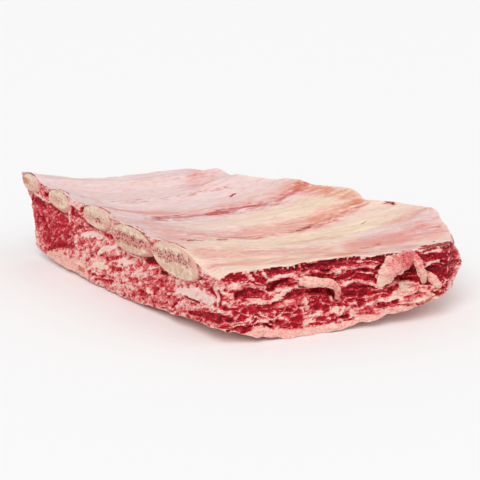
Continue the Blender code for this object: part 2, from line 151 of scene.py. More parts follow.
# %% Driving sizes of the ribs, from rib 5 to rib 1
RIB_NAMES = (5, 4, 3, 2, 1)
RIB_Y_CUT = (-67.5, -16.0, 26.0, 77.0, 118.0)     # middles of ribs 5 to 1 at the saw cut
RIB_Y_END = (-58.0, 10.0, 47.0, 75.0, 99.0)       # and at the far end
RIB_WIDTH = (51.0, 46.0, 35.0, 30.0, 18.0)
RIB_THICKNESS = (20.0, 18.0, 16.0, 13.5, 12.0)
RIB_BOW = (1.0, 1.0, 1.0, 1.0, 0.5)     # below 1, the rib leaves its side early
RIB_ROLL = (0.05, 0.0, 0.0, 0.0, 0.0)   # rise of the oval for each mm across
RIB_COVER_CUT = 1.7             # membrane and fat over a bone at the saw cut
RIB_COVER_END = 4.8             # at its far end
RIB_COVER = 3.2                 # and between them
RIB_COVER_RUN = 0.15            # share of the length over which the cover thickens
RIB_PROUD = 1.5                 # how far the sawn bone stands out of the shrunken meat
RIB_SHORT = 2.0                 # how far it stops short of the rim of the far end
RIB_TAPER = 0.78                # width of a bone at the far end, as a share of its width at the cut
BONE_SQUARENESS = 2.15          # exponent of the oval: 2 is an ellipse, more is squarer
print("widths of ribs", RIB_NAMES, "in mm:", RIB_WIDTH)

# %% Small helpers


def smooth(t):
    """Rise from 0 to 1 with level ends: 3t^2 - 2t^3 on the clipped parameter."""
    t = np.clip(t, 0.0, 1.0)
    return t * t * (3.0 - 2.0 * t)


def rise(t, low, high):
    """Rise from 0 at low to 1 at high, with level ends."""
    return smooth((t - low) / (high - low))


def bump(t, centre, width):
    """Bell curve of height 1."""
    return np.exp(-((t - centre) / width) ** 2)


def bend(t, width):
    """Zero below 0 and t above it, with a rounded corner of the given width."""
    return width * np.logaddexp(0.0, t / width)


def mix(a, b, t):
    """Blend from a at t = 0 to b at t = 1."""
    return a + (b - a) * t


def bezier(points, t):
    """Smooth curve drawn towards its control points: each is weighted by a Bernstein polynomial."""
    last = len(points) - 1
    weights = [math.comb(last, k) * t ** k * (1.0 - t) ** (last - k) for k in range(last + 1)]
    return np.stack(weights, -1) @ np.array(points, float)


def crags(a, b):
    """Uneven bundles of muscle: three slanting waves of unlike length, about -1 to 1."""
    long_wave = 0.50 * np.sin(2.0 * math.pi * (a / 27.0 + b / 60.0))
    short_wave = 0.30 * np.sin(2.0 * math.pi * (a / 13.0 - b / 24.0) + 1.3)
    cross_wave = 0.30 * np.sin(2.0 * math.pi * (a / 19.0 + b / 15.0) + 2.1)
    return long_wave + short_wave + cross_wave


print("smooth at a quarter:", smooth(0.25))

# %% [markdown]
# ## Outline and heights
#
# A trimmed slab has no straight block to start from, but its four edges are easy to describe: a straight
# saw cut, a far end with notches between the ribs, and two sides. Blending the four edges gives a plan
# with two parameters, u along the ribs and v across them. A third, w, rises from the base to the top.

# %% Outline of the plan


def cut_x(y):
    """The saw cut is a straight line that slants back across the ribs."""
    return CUT_X - CUT_SLANT * (y - NEAR_Y)


def far_x(y):
    """The far end: level beside rib 5, then a slanting run with a notch between each pair of ribs."""
    run = bend(y - FAR_SLANT_Y, FAR_SLANT_ROUND)
    x = FAR_X - FAR_SLANT * run - FAR_CURVE * run * run
    for middle, depth, width in NOTCHES:
        x = x - depth * bump(y, middle, width)
    return x - FAR_ROUND_CURVE * np.maximum(0.0, FAR_ROUND_Y - y) ** 2


def near_y(x):
    """The near side: almost straight, then rounded into the far end."""
    wave = NEAR_WAVE * np.sin(math.pi * (x / NEAR_WAVE_RUN - 1.0))
    return NEAR_Y - wave + NEAR_ROUND_IN * smooth((x - NEAR_ROUND_X) / NEAR_ROUND_RUN) ** 2


def far_y(x):
    """The far side: straight, then widening to the saw cut."""
    return FAR_Y + (CORNER_Y - FAR_Y) * smooth((CORNER_X - x) / CORNER_RUN)


def edge_cut(v):
    """Points (x, y) along the saw cut."""
    y = mix(near_y(CUT_X), CORNER_Y, v)
    return np.stack([cut_x(y), y], -1)


def edge_far_end(v):
    """Points along the far end."""
    y = mix(FAR_END_Y, FAR_Y, v)
    return np.stack([far_x(y), y], -1)


def edge_near_side(u):
    """Points along the near side, drawn to the corner of the far end."""
    start, end = edge_cut(np.array(0.0)), edge_far_end(np.array(0.0))
    x = mix(start[0], end[0], u)
    return np.stack([x, near_y(x) + (end[1] - near_y(end[0])) * u ** 6], -1)


def edge_far_side(u):
    """Points along the far side, drawn to both of its corners."""
    start, end = edge_cut(np.array(1.0)), edge_far_end(np.array(1.0))
    x = mix(start[0], end[0], u)
    to_start = (start[1] - far_y(start[0])) * (1.0 - u) ** 4
    to_end = (end[1] - far_y(end[0])) * u ** 4
    return np.stack([x, far_y(x) + to_start + to_end], -1)


def plan(u, v):
    """Blend the four edges: u runs along the ribs and v across them, both from 0 to 1."""
    corner = [[edge_near_side(np.array(0.0)), edge_far_side(np.array(0.0))],
              [edge_near_side(np.array(1.0)), edge_far_side(np.array(1.0))]]
    along, across = u[..., None], v[..., None]
    blend = mix(edge_near_side(u), edge_far_side(u), across)
    blend = blend + mix(edge_cut(v), edge_far_end(v), along)
    return blend - mix(mix(corner[0][0], corner[0][1], across),
                       mix(corner[1][0], corner[1][1], across), along)


print("far end beside rib 3, in mm:", round(float(far_x(0.0)), 1))

# %% Heights of the top and the base


def along_ribs(x, y):
    """0 at the saw cut and 1 at the far end."""
    return np.clip((x - cut_x(y)) / (far_x(y) - cut_x(y)), 0.0, 1.05)


def rib_line(rib, t):
    """Middle of a rib across the slab, at a share t of its length."""
    return mix(RIB_Y_CUT[rib], RIB_Y_END[rib], np.clip(t, 0.0, 1.0) ** RIB_BOW[rib])


def top_z(x, y):
    """The bone side: high at both ends, hollow between them, with a low ridge over each rib."""
    t = along_ribs(x, y)
    across = y - NEAR_Y
    at_cut = mix(TOP_NEAR, TOP_BONES, smooth((across - 1.0) / SHOULDER))
    at_cut = at_cut + CUT_TILT * np.clip(across / (CORNER_Y - NEAR_Y), 0.0, 1.1)
    at_cut = at_cut + CORNER_RISE[0] * smooth((y - CORNER_RISE[1]) / CORNER_RISE[2])
    at_cut = at_cut + CUT_ARCH[0] * bump(y, *CUT_ARCH[1:]) * (1.0 - smooth(t / CUT_ARCH_END))
    at_end = TOP_FAR - END_SINK[0] * smooth((END_SINK[1] - y) / END_SINK[2])
    at_end = at_end - END_CORNER_SINK[0] * smooth((END_CORNER_SINK[1] - y) / END_CORNER_SINK[2])
    hollow = TOP_HOLLOW * smooth((across - 4.0) / 60.0) + SIDE_HOLLOW * smooth((y - 60.0) / 50.0)
    z = mix(at_cut, at_end, t ** END_HOLD)
    z = z - hollow * np.sin(math.pi * np.clip(t, 0.0, 1.0) ** HOLLOW_LEAN)
    z = z + LIP * bump(y, NEAR_Y, LIP_WIDTH) * smooth(t / LIP_START)
    for rib, width in enumerate(RIB_WIDTH):
        z = z + RIDGE * bump(y, rib_line(rib, t), RIDGE_WIDTH * width * (1.0 - RIDGE_NARROWING * t))
    return z


def bottom_z(x, y):
    """The fat side: flat in the middle and lifted towards every edge."""
    inside = (x - cut_x(y), far_x(y) - x, far_y(x) - y, y - near_y(x))
    near_edge = [np.clip(1.0 - distance / reach, 0.0, 1.0) for distance, reach in zip(inside, LIFT_REACH)]
    from_cut, from_end, from_side, from_near = near_edge
    across = (y - NEAR_Y) / (CORNER_Y - NEAR_Y)
    lift_cut = mix(LIFT_CUT[0], LIFT_CUT[1], smooth(across / 0.5))
    lift_cut = lift_cut + (LIFT_CUT[2] - LIFT_CUT[1]) * smooth((across - 0.55) / 0.35)
    lift_end = mix(LIFT_END[1], LIFT_END[0], smooth((-70.0 - y) / 30.0))
    z = lift_cut * from_cut ** 2 + lift_end * from_end ** 2.4
    z = z + LIFT_SIDE * from_side ** 2 + LIFT_NEAR * from_near ** 2
    z = z + LIFT_CORNER * smooth((x - 15.0) / 65.0) * smooth((-60.0 - y) / 50.0)
    return np.maximum(z + BASE_WAVE * crags(1.4 * x, 0.6 * y) - BASE_SINK, 0.0)


def fat_share(u, v):
    """Height at which the fat cap gives way to meat, as a share of the slab's height."""
    share = FAT_THIN + FAT_NEAR_SIDE[0] * bump(u, *FAT_NEAR_SIDE[1:]) * (1.0 - v) ** 2
    share = share + FAT_AT_CUT[0] * bump(v, *FAT_AT_CUT[1:]) * (1.0 - u)
    return share + FAT_MIDDLE * np.sin(math.pi * u) * np.sin(math.pi * v)


print("height of the middle, in mm:", round(float(top_z(0.0, 0.0) - bottom_z(0.0, 0.0)), 1))

# %% The slab as one mapping of a unit block


def hollows(places, a, z):
    """Depth of a set of bell-shaped hollows on a side: a runs along it and z is the height."""
    depth = 0.0
    for middle_a, middle_z, half_width, half_height, deepest in places:
        depth = depth + deepest * bump(a, middle_a, half_width) * bump(z, middle_z, half_height)
    return depth


def slab(u, v, w):
    """Place points of a unit block: (u, v) in the plan, w from the base to the top."""
    low = smooth((1.0 - w) / DRAW_IN_RUN)
    foot = (1.0 - w) ** 2
    belly = CORNER_BELLY * bump(w, *BELLY_HEIGHT) * smooth((1.0 - w) / 0.1)
    in_cut = DRAW_IN_CUT * low
    in_end = mix(DRAW_IN_FAR_END * low + FOOT_IN_END * foot, -belly, (1.0 - v) ** 4)
    in_near = DRAW_IN_NEAR * foot * np.sin(math.pi * u)
    in_side = DRAW_IN_FAR_SIDE * low
    spot = plan(in_cut + (1.0 - in_cut - in_end) * u, in_near + (1.0 - in_near - in_side) * v)
    x, y = spot[..., 0], spot[..., 1]
    top = top_z(x, y) + CRAG_TOP * crags(0.45 * x, 1.3 * y + 9.0)
    z = mix(bottom_z(x, y), top, w)

    near = (CRAG_NEAR * crags(x, 1.6 * z) - hollows(NEAR_HOLLOWS, x, z)) * np.exp(-v / CRAG_REACH)
    cut = (CRAG_CUT * crags(0.8 * y, 1.5 * z) - hollows(CUT_HOLLOWS, y, z)) * np.exp(-u / CRAG_REACH)
    end = CRAG_FAR * crags(0.7 * y, 1.5 * z + 11.0) * np.exp(-(1.0 - u) / CRAG_REACH)
    side = CRAG_FAR * crags(0.8 * x, 1.5 * z + 23.0) * np.exp(-(1.0 - v) / CRAG_REACH)
    return np.stack([x - cut + 0.86 * end, y - near + 0.5 * end + side, z], -1)


print("saw cut from", cut_x(NEAR_Y), "to", round(float(cut_x(CORNER_Y)), 1), "mm in X")

# %% [markdown]
# ## Chance that is the same each time
#
# Meat is marbled at every size from a hair to a thumb. Two random fields make that: clouds, which
# wander smoothly, and cells, which fill space with rounded pieces like muscle bundles in a net of fat.
# Both take their random numbers from the place itself, so every run gives the same meat.

# %% Random fields


def cell_random(cell, channel):
    """A fixed number from 0 to 1 for a whole-numbered cell: its numbers times large odd ones, scrambled."""
    cell = cell.astype(np.int64)
    code = (cell[..., 0] * 73856093) ^ (cell[..., 1] * 19349663) ^ (cell[..., 2] * 83492791)
    code = (code ^ (channel * 40503)) & 0xFFFFFFFF
    code = ((code ^ (code >> 13)) * 1274126177) & 0xFFFFFFFF
    code = ((code ^ (code >> 16)) * 668265263) & 0xFFFFFFFF
    return (code ^ (code >> 15)) / 0xFFFFFFFF


def clouds(p, channel):
    """Smooth field from 0 to 1: the eight corners of a point's cell, weighted by a five-power ease."""
    base = np.floor(p)
    f = p - base
    ease = f * f * f * (f * (f * 6.0 - 15.0) + 10.0)
    total = 0.0
    for corner in itertools.product((0, 1), repeat=3):
        weight = np.prod(np.where(np.array(corner) == 1, ease, 1.0 - ease), -1)
        total = total + weight * cell_random(base + corner, channel)
    return total


def layered(p, octaves, channel):
    """Clouds upon clouds: each layer is twice as fine and half as strong as the one before."""
    total, weight = 0.0, 0.0
    for octave in range(octaves):
        total = total + 0.5 ** octave * clouds(p * 2.0 ** octave + 7.3 * octave, channel + octave)
        weight += 0.5 ** octave
    return total / weight


def cells(p, channel):
    """Gap between a point's distances to the nearest and second nearest seed: 0 on a cell's wall."""
    base = np.floor(p)
    nearest = np.full(p.shape[:-1], 9.0)
    second = nearest.copy()
    for step in itertools.product((-1, 0, 1), repeat=3):
        cell = base + step
        seed = np.stack([cell_random(cell, channel + 11 * axis) for axis in range(3)], -1)
        reach = np.linalg.norm(p - cell - seed, axis=-1)
        second = np.minimum(second, np.maximum(nearest, reach))
        nearest = np.minimum(nearest, reach)
    return second - nearest


def warped(p, size, amount, channel):
    """Push points about by clouds of a given size, so that straight things run unevenly."""
    push = [layered(p / size + 31.0 * axis, 2, channel + 5 * axis) - 0.5 for axis in range(3)]
    return p + 2.0 * amount * np.stack(push, -1)


print("clouds at the origin:", round(float(clouds(np.zeros(3), 1)), 3))

# %% [markdown]
# ## Seams, muscles and the painted shade of folds as strokes
#
# A butcher names a cut by where its seams of fat and its muscles run. So do these lists: each stroke is
# a strength, then spots (place along the side, height, half width) joined by straight runs. The spots
# are pushed about by clouds before they are measured, so that no stroke has a straight edge.

# %% Measure strokes


def ridge(field, width):
    """Thin lines where a field of clouds crosses its middle value: 1 on the line, 0 at the width."""
    return np.clip(1.0 - np.abs(field - 0.5) / width, 0.0, 1.0)


def strokes(marks, along, height, jitter=0.0, soft=0.35):
    """Greatest strength of any stroke, with an edge that a field of jitter makes ragged.

    The distance to a run is that to its nearest point, divided by the half width there. What is left of
    the half width, moved by the jitter, rises smoothly from 0 at the edge to 1 over the soft share.
    """
    total = np.zeros(along.shape)
    for strength, *spots in marks:
        near = np.full(along.shape, 9.0)
        for (a0, h0, r0), (a1, h1, r1) in zip(spots, spots[1:]):
            run_a, run_h = a1 - a0, h1 - h0
            share = ((along - a0) * run_a + (height - h0) * run_h) / (run_a ** 2 + run_h ** 2)
            share = np.clip(share, 0.0, 1.0)
            away = np.hypot(along - a0 - share * run_a, height - h0 - share * run_h)
            near = np.minimum(near, away / mix(r0, r1, share))
        total = np.maximum(total, strength * smooth((1.0 + 0.4 * soft - near + jitter) / soft))
    return total


print("on its own line a stroke has", strokes([(1.0, (0, 0, 1), (1, 0, 1))], np.zeros(1), np.zeros(1)))

# %% Strokes of the near side: (x, height, half width)
NEAR_SIDE = {
    "pale": (
        (1.0, (-47, 38, 1.5), (-45, 31, 1.3), (-46, 25, 1.1)),
        (0.9, (-43, 38, 1.1), (-41.8, 32, 1.2), (-43, 26, 0.9)),
        (1.0, (-28.5, 47, 2.0), (-26, 43, 1.6), (-23.5, 39.5, 1.0)),
        (0.9, (-19.5, 47, 1.0), (-16.5, 43, 0.9), (-14, 39.5, 1.0)),
        (0.9, (8.5, 47, 1.4), (9.5, 42, 1.0)),
        (0.9, (14, 46.2, 1.2), (20, 45.8, 1.1)),
        (0.8, (12.3, 42.3, 0.9), (13.7, 42, 0.8)),
        (0.9, (48, 42.4, 0.55), (60, 41.2, 0.55)),
        (0.9, (-38, 36, 1.3), (-25, 36.2, 1.7), (-15, 33.2, 1.1)),
        (0.8, (-22, 38, 0.8), (-17, 36, 0.9)),
        (1.0, (-15, 36, 1.1), (-5, 39.5, 1.2), (2, 38.6, 1.5), (7, 37, 1.2)),
        (0.9, (9, 38.2, 0.9), (20, 38.6, 1.1), (30, 37, 0.9)),
        (0.9, (-18, 33, 0.6), (-12, 30, 0.7), (0, 31, 0.7), (18, 29.3, 0.6)),
        (1.1, (-28, 28, 0.8), (-18, 25, 1.7), (-12, 24.6, 1.9), (-4, 27.3, 1.3), (1, 29.3, 0.8)),
        (0.9, (-47, 22, 1.2), (-38, 20, 0.8)),
        (0.8, (-37, 13, 0.7), (-26, 15.2, 0.8)),
        (0.9, (-22, 16, 0.7), (-13, 11.2, 0.9), (-6, 7, 0.9)),
        (0.8, (-20, 18, 0.6), (-12, 13.4, 0.7)),
        (0.8, (-9, 19, 0.7), (-9.2, 10, 0.7)),
        (1.1, (12, 22.5, 0.9), (13, 17, 1.4), (15, 13, 1.6), (12.5, 9, 1.7), (11, 5, 2.2)),
        (1.1, (25, 11.8, 1.2), (33, 14, 1.6)),
        (1.0, (28, 5.6, 1.0), (31, 5.2, 1.2)),
        (0.7, (31, 38, 0.9), (42, 38.4, 1.3), (60, 38.2, 1.1)),
        (0.9, (40, 32, 0.5), (50, 34.8, 0.6), (58, 34, 0.5)),
        (0.9, (36, 28.5, 0.7), (48, 30.2, 1.2), (55, 28.4, 1.4), (63, 24.5, 1.0)),
        (0.8, (40, 13, 0.6), (41.5, 16.5, 0.6), (45, 16.8, 0.6), (46.5, 13.5, 0.6), (43, 12, 0.6)),
        (0.9, (47, 13, 0.7), (60, 16.8, 0.9), (78, 18.3, 1.2)),
        (0.9, (61, 32, 1.2), (64, 27, 1.4)),
        (0.9, (71, 20, 1.6), (80, 21, 3.6), (88, 22.5, 3.6), (93, 21, 2.4)),
        (0.9, (76, 15.5, 2.4), (86, 16.5, 3.0), (94, 17, 2.6), (99, 21, 2.2)),
        (1.1, (88, 13, 1.8), (96, 12.5, 2.2), (104, 14, 2.2)),
        (1.0, (91.5, 33, 0.8), (97, 35.3, 1.0), (103, 37.2, 0.9), (107.5, 35, 0.7)),
        (0.8, (93, 44, 0.7), (104, 45.2, 0.8)),
        (0.6, (109, 41, 0.6), (111.5, 34, 0.7), (110, 28, 0.6)),
    ),
    "lean": (
        (1.1, (-41, 42.5, 2.4), (-29, 43, 2.6)),
        (1.1, (-24, 43, 2.1), (-19, 42.5, 2.1)),
        (1.2, (-13, 43.4, 2.5), (6, 43.6, 2.5)),
        (1.1, (10, 42.2, 2.0), (20, 42.2, 2.0)),
        (1.2, (22, 43.4, 2.5), (45, 43.8, 2.6), (65, 43.8, 2.8)),
        (1.2, (-32.5, 31.5, 2.4), (-28, 31.5, 2.2)),
        (1.0, (-28, 31.8, 2.0), (-17, 31, 1.7)),
        (1.1, (-14, 32.3, 1.3), (-9, 33.5, 2.3), (-2, 36, 1.7)),
        (0.9, (-34, 21, 4.6), (-20, 19, 3.6)),
        (1.1, (-46, 17, 2.8), (-31, 17, 2.6)),
        (1.1, (-27, 11.5, 1.5), (-20, 12.8, 1.4), (-10, 8.5, 1.1)),
        (0.9, (-46, 10, 2.8), (-30, 9.5, 2.3)),
        (1.2, (4, 12.2, 5.0), (6, 12.4, 5.0)),
        (1.0, (-8, 16, 1.9), (0, 16, 1.9)),
        (1.0, (-3, 26, 1.9), (4, 27, 2.0), (12, 26.5, 1.9)),
        (0.8, (15, 27.3, 0.9), (22, 27, 0.9)),
        (1.1, (24, 26, 1.9), (30, 24, 2.1)),
        (1.1, (19, 17, 2.8), (28, 18, 2.4), (38, 17, 2.2)),
        (1.2, (19.5, 9, 2.4), (29, 8.8, 2.1)),
        (1.1, (32, 8.3, 1.6), (40, 8, 1.4)),
        (1.1, (59.5, 38, 1.4), (62.5, 37.5, 1.5)),
        (1.1, (31, 33.5, 1.7), (45, 33.4, 2.2), (62, 32.5, 2.4)),
        (1.0, (38, 26.5, 0.9), (50, 26.8, 0.9), (58, 25, 0.9)),
        (0.8, (34, 21.5, 2.8), (50, 21.5, 3.0), (64, 20.5, 2.4)),
        (0.9, (62, 14, 2.2), (76, 14.3, 1.9)),
        (1.2, (70, 29, 2.4), (79, 31.5, 3.8), (88, 34, 3.3)),
        (1.1, (88, 23.6, 1.6), (94, 24.2, 1.9)),
        (1.1, (89, 42, 3.8), (100, 41, 3.0), (111, 43, 3.8)),
        (1.1, (93, 48.5, 2.0), (104, 49.5, 2.4), (112, 47, 3.8)),
        (1.0, (112, 44, 5.6), (114, 33, 6.6), (109, 24, 4.6)),
        (1.2, (94, 31.5, 2.1), (103, 31.5, 2.5)),
        (1.1, (98, 17.5, 1.5), (103, 16.5, 1.5)),
    ),
    "bright": (
        (1.0, (-41, 43, 2.4), (-29, 43, 2.4)),
        (1.0, (-38, 31, 2.4), (-37, 27, 2.8), (-38.5, 23.5, 2.2)),
        (1.0, (4, 12, 5.0), (6, 12.5, 5.0)),
        (0.9, (19.5, 9, 2.6), (29, 8.8, 2.3)),
        (0.7, (-8, 16, 2), (0, 16, 2)),
        (0.6, (19, 17, 2.8), (38, 17, 2.4)),
        (0.7, (-34, 20, 3.5), (-22, 19, 3)),
        (0.6, (31, 33.5, 1.5), (60, 33.5, 1.8)),
        (0.6, (98, 18, 2), (103, 17, 2)),
        (0.5, (90, 42, 3), (104, 42, 3)),
    ),
    "rose": (
        (1.0, (-8, 21.5, 2.4), (12, 21.5, 2.4)),
        (0.9, (40, 11, 2.4), (58, 12, 2.6)),
        (0.8, (31, 38, 1.8), (60, 38, 1.8)),
        (0.8, (66, 24, 2), (72, 24, 2)),
        (0.7, (60, 12, 2), (78, 13, 2)),
    ),
    # painted shade: the pocket, the creases, the hollows, under the flap, and the shadow of the finger's tip
    "fold_shade_and_tears": (
        (1.0, (-13, 31.3, 0.7), (-9, 31.6, 1.1), (-4, 34.5, 1.0), (0, 36.3, 0.7)),
        (1.0, (8, 30.6, 0.8), (18, 30, 0.8), (28, 29.6, 0.9)),
        (0.8, (28.8, 28, 0.8), (30, 24, 1.0), (32, 21, 0.9)),
        (0.9, (66, 25.5, 0.8), (72.5, 29.3, 1.0), (80, 35.2, 1.2), (86, 39, 1.1)),
        (1.0, (93, 30.3, 1.4), (98, 31.8, 2.1), (104, 32.3, 1.6)),
        (0.8, (-33, 30.5, 1.3), (-29, 32.5, 1.5)),
        (0.8, (58, 44.6, 1.4), (65, 44.3, 1.6)),
        (0.6, (60, 37.5, 1.0), (62.5, 38, 1.0)),
        (0.6, (40, 26.4, 0.6), (57, 25.4, 0.6)),
        (0.5, (-45, 35, 0.6), (-44, 30, 0.7), (-44.5, 26, 0.5)),
        (0.5, (-12, 44.6, 1.0), (5, 45, 1.1)),
        (0.5, (24, 45, 0.9), (45, 45.2, 0.9)),
        (0.6, (92, 24.6, 0.9), (95, 25.4, 1.0)),
        (0.4, (105, 39, 0.6), (107.5, 31, 0.8), (104.5, 24, 0.7)),
        (0.5, (97, 19.5, 0.7), (101, 17, 0.7)),
    ),
    "cream": (
        (1.0, (-26, 27, 2.6), (-8, 26, 3.0)),
        (1.0, (74, 20, 6), (90, 18, 6), (102, 16, 6)),
        (0.8, (60, 33, 3), (66, 26, 3)),
        (0.8, (12, 20, 3), (12, 6, 4)),
        (0.8, (25, 12, 2), (33, 14, 2)),
        (0.7, (-46, 40, 3), (-44, 28, 3)),
    ),
    "stain": (
        (0.7, (87, 11.2, 0.9), (90, 12.6, 1.1)),
        (1.0, (92.6, 12.4, 1.2), (95.6, 13.6, 1.4)),
        (0.5, (101, 16.5, 1.0), (104, 16, 1.0)),
        (0.5, (78, 13, 1.4), (84, 11, 1.4)),
    ),
}
print("near side:", sum(len(marks) for marks in NEAR_SIDE.values()), "strokes")

# %% Strokes of the sawn face: (y, height, half width)
CUT_FACE = {
    "pale": (
        (1.3, (-103, 26, 2.6), (-94, 26.5, 4.0), (-84, 26.5, 3.6), (-76, 25, 2.6), (-66, 22.5, 1.4)),
        (1.0, (-111, 29, 1.6), (-109, 35, 1.8)),
        (1.2, (-11, 27.2, 1.6), (-4, 26.6, 2.2), (2, 25, 1.6)),
        (1.1, (8, 33, 1.4), (20, 29, 2.0), (27, 24.2, 1.4)),
        (1.3, (25, 36.3, 1.8), (34, 36, 2.7), (42, 34.5, 2.3), (48, 33, 1.4)),
        (1.2, (18, 17, 2.0), (26, 16.5, 2.7), (34, 14.5, 1.8)),
        (1.0, (-38, 13, 1.6), (-32, 14.5, 1.8)),
        (1.0, (93, 46, 0.8), (106, 47.5, 1.1), (120, 49, 0.9)),
        (1.0, (64, 46, 1.5), (66.5, 39, 1.4)),
        (0.9, (49, 54, 1.8), (55, 51.5, 2.2), (62, 53.5, 1.8)),
        (0.8, (-30, 23.5, 1.2), (-20, 24, 1.4)),
        (0.8, (-22, 33, 1.0), (-12, 33, 1.4), (-4, 36, 1.2), (2, 39, 0.9)),
        (0.8, (40, 24, 1.2), (48, 20, 1.4), (58, 17, 1.2)),
        (0.6, (122, 45, 1.0), (125, 35, 1.1), (121, 24, 0.9)),
        (0.7, (-75, 30.6, 0.9), (-62, 28.6, 0.9)),
        (0.7, (-6, 11, 0.9), (6, 8, 1.0)),
    ),
    "lean": (
        (1.2, (-114, 16.5, 3.0), (-100, 15.8, 2.6), (-91, 14.5, 2.0), (-80, 12, 1.2)),
        (0.9, (-107, 31, 1.6), (-100, 35, 1.8)),
        (0.9, (-113, 25.5, 1.4), (-107, 25.3, 1.4)),
        (1.2, (-40, 34.5, 2.3), (-31, 34.5, 2.8)),
        (1.1, (-29, 12, 2.2), (-22, 9.6, 1.9)),
        (0.8, (-48, 18, 1.8), (-38, 18, 1.8)),
        (0.9, (-69, 30, 1.1), (-64, 30, 1.1)),
        (0.9, (-74, 20, 0.9), (-67, 17, 1.1)),
        (0.9, (-66, 15, 1.0), (-60, 11, 1.1)),
        (0.7, (-62, 25, 2.2), (-50, 24.5, 2.2)),
        (0.9, (-20, 17.5, 1.6), (-10, 16, 1.7)),
        (0.9, (0, 19.5, 1.5), (12, 18, 1.4)),
        (0.9, (5, 27, 1.4), (18, 22.5, 1.4)),
        (0.9, (28, 26, 1.4), (38, 20.5, 1.6)),
        (1.1, (7, 39.5, 1.7), (14, 39.3, 2.0), (20, 40, 1.5)),
        (1.3, (44, 55, 1.1), (46, 52, 2.2), (47.5, 50, 1.3)),
        (1.2, (60.5, 49, 1.7), (60.5, 45, 2.2)),
        (1.1, (47, 45.5, 1.5), (58, 45.5, 1.7)),
        (1.2, (92.5, 52, 1.3), (97, 51, 1.7)),
        (1.2, (102, 43, 2.8), (111, 43, 2.9), (119, 42, 2.8)),
        (0.7, (10, 9.5, 0.9), (20, 7, 1.0), (34, 5, 0.9)),
        (0.7, (14, 11.5, 0.8), (28, 8.5, 0.8), (38, 7, 0.7)),
        (0.8, (66, 34, 5), (80, 34, 8), (96, 33, 11), (106, 30, 11)),
        (0.8, (64, 24, 4), (80, 24, 6), (100, 20, 7)),
        (1.2, (61, 22, 2.2), (75, 19, 2.6), (88, 15.5, 2.2), (96, 11.5, 1.5)),
        (1.0, (70, 44, 2.4), (82, 42, 2.4), (92, 45, 2.2)),
        (0.8, (46, 40, 1.6), (56, 35, 1.8), (62, 30, 1.8)),
        (0.8, (44, 29, 1.4), (54, 25, 1.5)),
    ),
    "bright": (
        (0.9, (-69, 30, 1.2), (-64, 30, 1.2)),
        (0.8, (-28, 12, 2.2), (-22, 10, 2)),
        (0.9, (61, 22, 2.2), (75, 19, 2.6), (88, 15.5, 2.2)),
        (0.8, (44, 55, 1.2), (47, 50, 2.0), (60, 46, 2.4)),
        (0.6, (-114, 17, 3), (-100, 16, 2.6)),
        (0.5, (70, 34, 7), (90, 32, 10)),
        (0.6, (100, 45, 3), (116, 46, 3)),
    ),
    "rose": (
        (0.8, (-60, 20, 7), (-40, 21, 7)),
        (0.7, (-95, 9, 2), (-70, 9, 3), (-40, 8, 2.5)),
    ),
    # painted shade in the creases of the sawn face and under the bones
    "fold_shade_and_tears": (
        (1.0, (-95, 38.5, 0.7), (-84, 35, 0.9), (-75, 32.5, 0.9)),
        (1.0, (-55, 31, 0.9), (-47, 29.8, 1.1)),
        (1.0, (-48.5, 32, 0.8), (-45.5, 32.5, 0.8)),
        (1.0, (-38, 36.5, 1.5), (-33, 33.5, 1.8)),
        (0.9, (-38, 38.6, 0.7), (-30, 36.6, 0.9), (-15, 34.6, 0.9)),
        (1.0, (11, 45, 0.7), (20, 42.7, 1.0), (30, 42, 1.0), (38, 42.2, 1.1)),
        (0.6, (-90, 21, 0.7), (-78, 21.5, 0.6)),
        (0.7, (45, 53, 1.0), (46.5, 50.5, 1.0)),
        (0.6, (60.5, 47.5, 1.0), (60.5, 44.5, 1.0)),
        (0.6, (72, 19, 1.0), (84, 16, 1.0)),
        (0.6, (-26, 12, 0.9), (-23.5, 10.4, 0.9)),
        (0.6, (104, 43.5, 1.2), (114, 43, 1.2)),
        (0.5, (-64, 13.5, 0.6), (-61, 11.6, 0.6)),
        (0.6, (78, 44.4, 0.7), (90, 45.4, 0.7)),
        (0.6, (93.5, 51.6, 0.8), (96, 51, 0.8)),
    ),
    "cream": (
        (0.9, (-40, 13, 4), (-30, 15, 4)),
        (1.0, (18, 17, 4), (33, 14, 4)),
        (1.0, (40, 9, 4), (60, 10, 4), (92, 10, 4)),
        (0.6, (-105, 9, 2), (-60, 7, 2)),
    ),
    "stain": (
        (0.8, (49, 6.6, 1.6), (54, 7.2, 1.8)),
        (0.5, (-108, 12.4, 0.8), (-84, 10.4, 0.8)),
    ),
}
print(sum(len(marks) for side in (NEAR_SIDE, CUT_FACE) for marks in side.values()), "strokes")

# %% [markdown]
# ## What every spot of the walls is made of
#
# A wall spot needs a handful of masks: how fat it is, how much painted shade darkens it in a fold, how
# cream or stained the fat is. The masks are kept as attributes of the mesh. The material turns them into
# colour, and the same masks push the surface in and out: fat stands proud of shrunken muscle, and folds sink.

# %% Stations round the slab
STATIONS = {"near": 330, "end": 180, "side": 100, "cut": 410}
CORNER_EASE = 0.02              # share of the plan over which one side's look gives way to the next
FIBRE_SLANT = 0.40              # slant of the fibres: mm of fall for each mm across the slab
SLANT_TURN = 0.05               # share of the length over which the slant turns into the back's


def stations(counts):
    """The plan's border as (u, v): along the near side, the far end, the far side and the saw cut."""
    near, end, side, cut = [np.arange(counts[name]) / counts[name] for name in ("near", "end", "side", "cut")]
    u = np.concatenate([near, np.ones_like(end), 1.0 - side, np.zeros_like(cut)])
    v = np.concatenate([np.zeros_like(near), end, np.ones_like(side), 1.0 - cut])
    return u, v


def border_outward(u, v):
    """Outward direction of the border at each station: its heading turned by a quarter."""
    spot = slab(u, v, np.ones_like(u))[..., :2]
    ahead = np.roll(spot, -3, 0) - np.roll(spot, 3, 0)
    outward = np.stack([ahead[:, 1], -ahead[:, 0]], -1)
    return outward / np.linalg.norm(outward, axis=-1, keepdims=True)


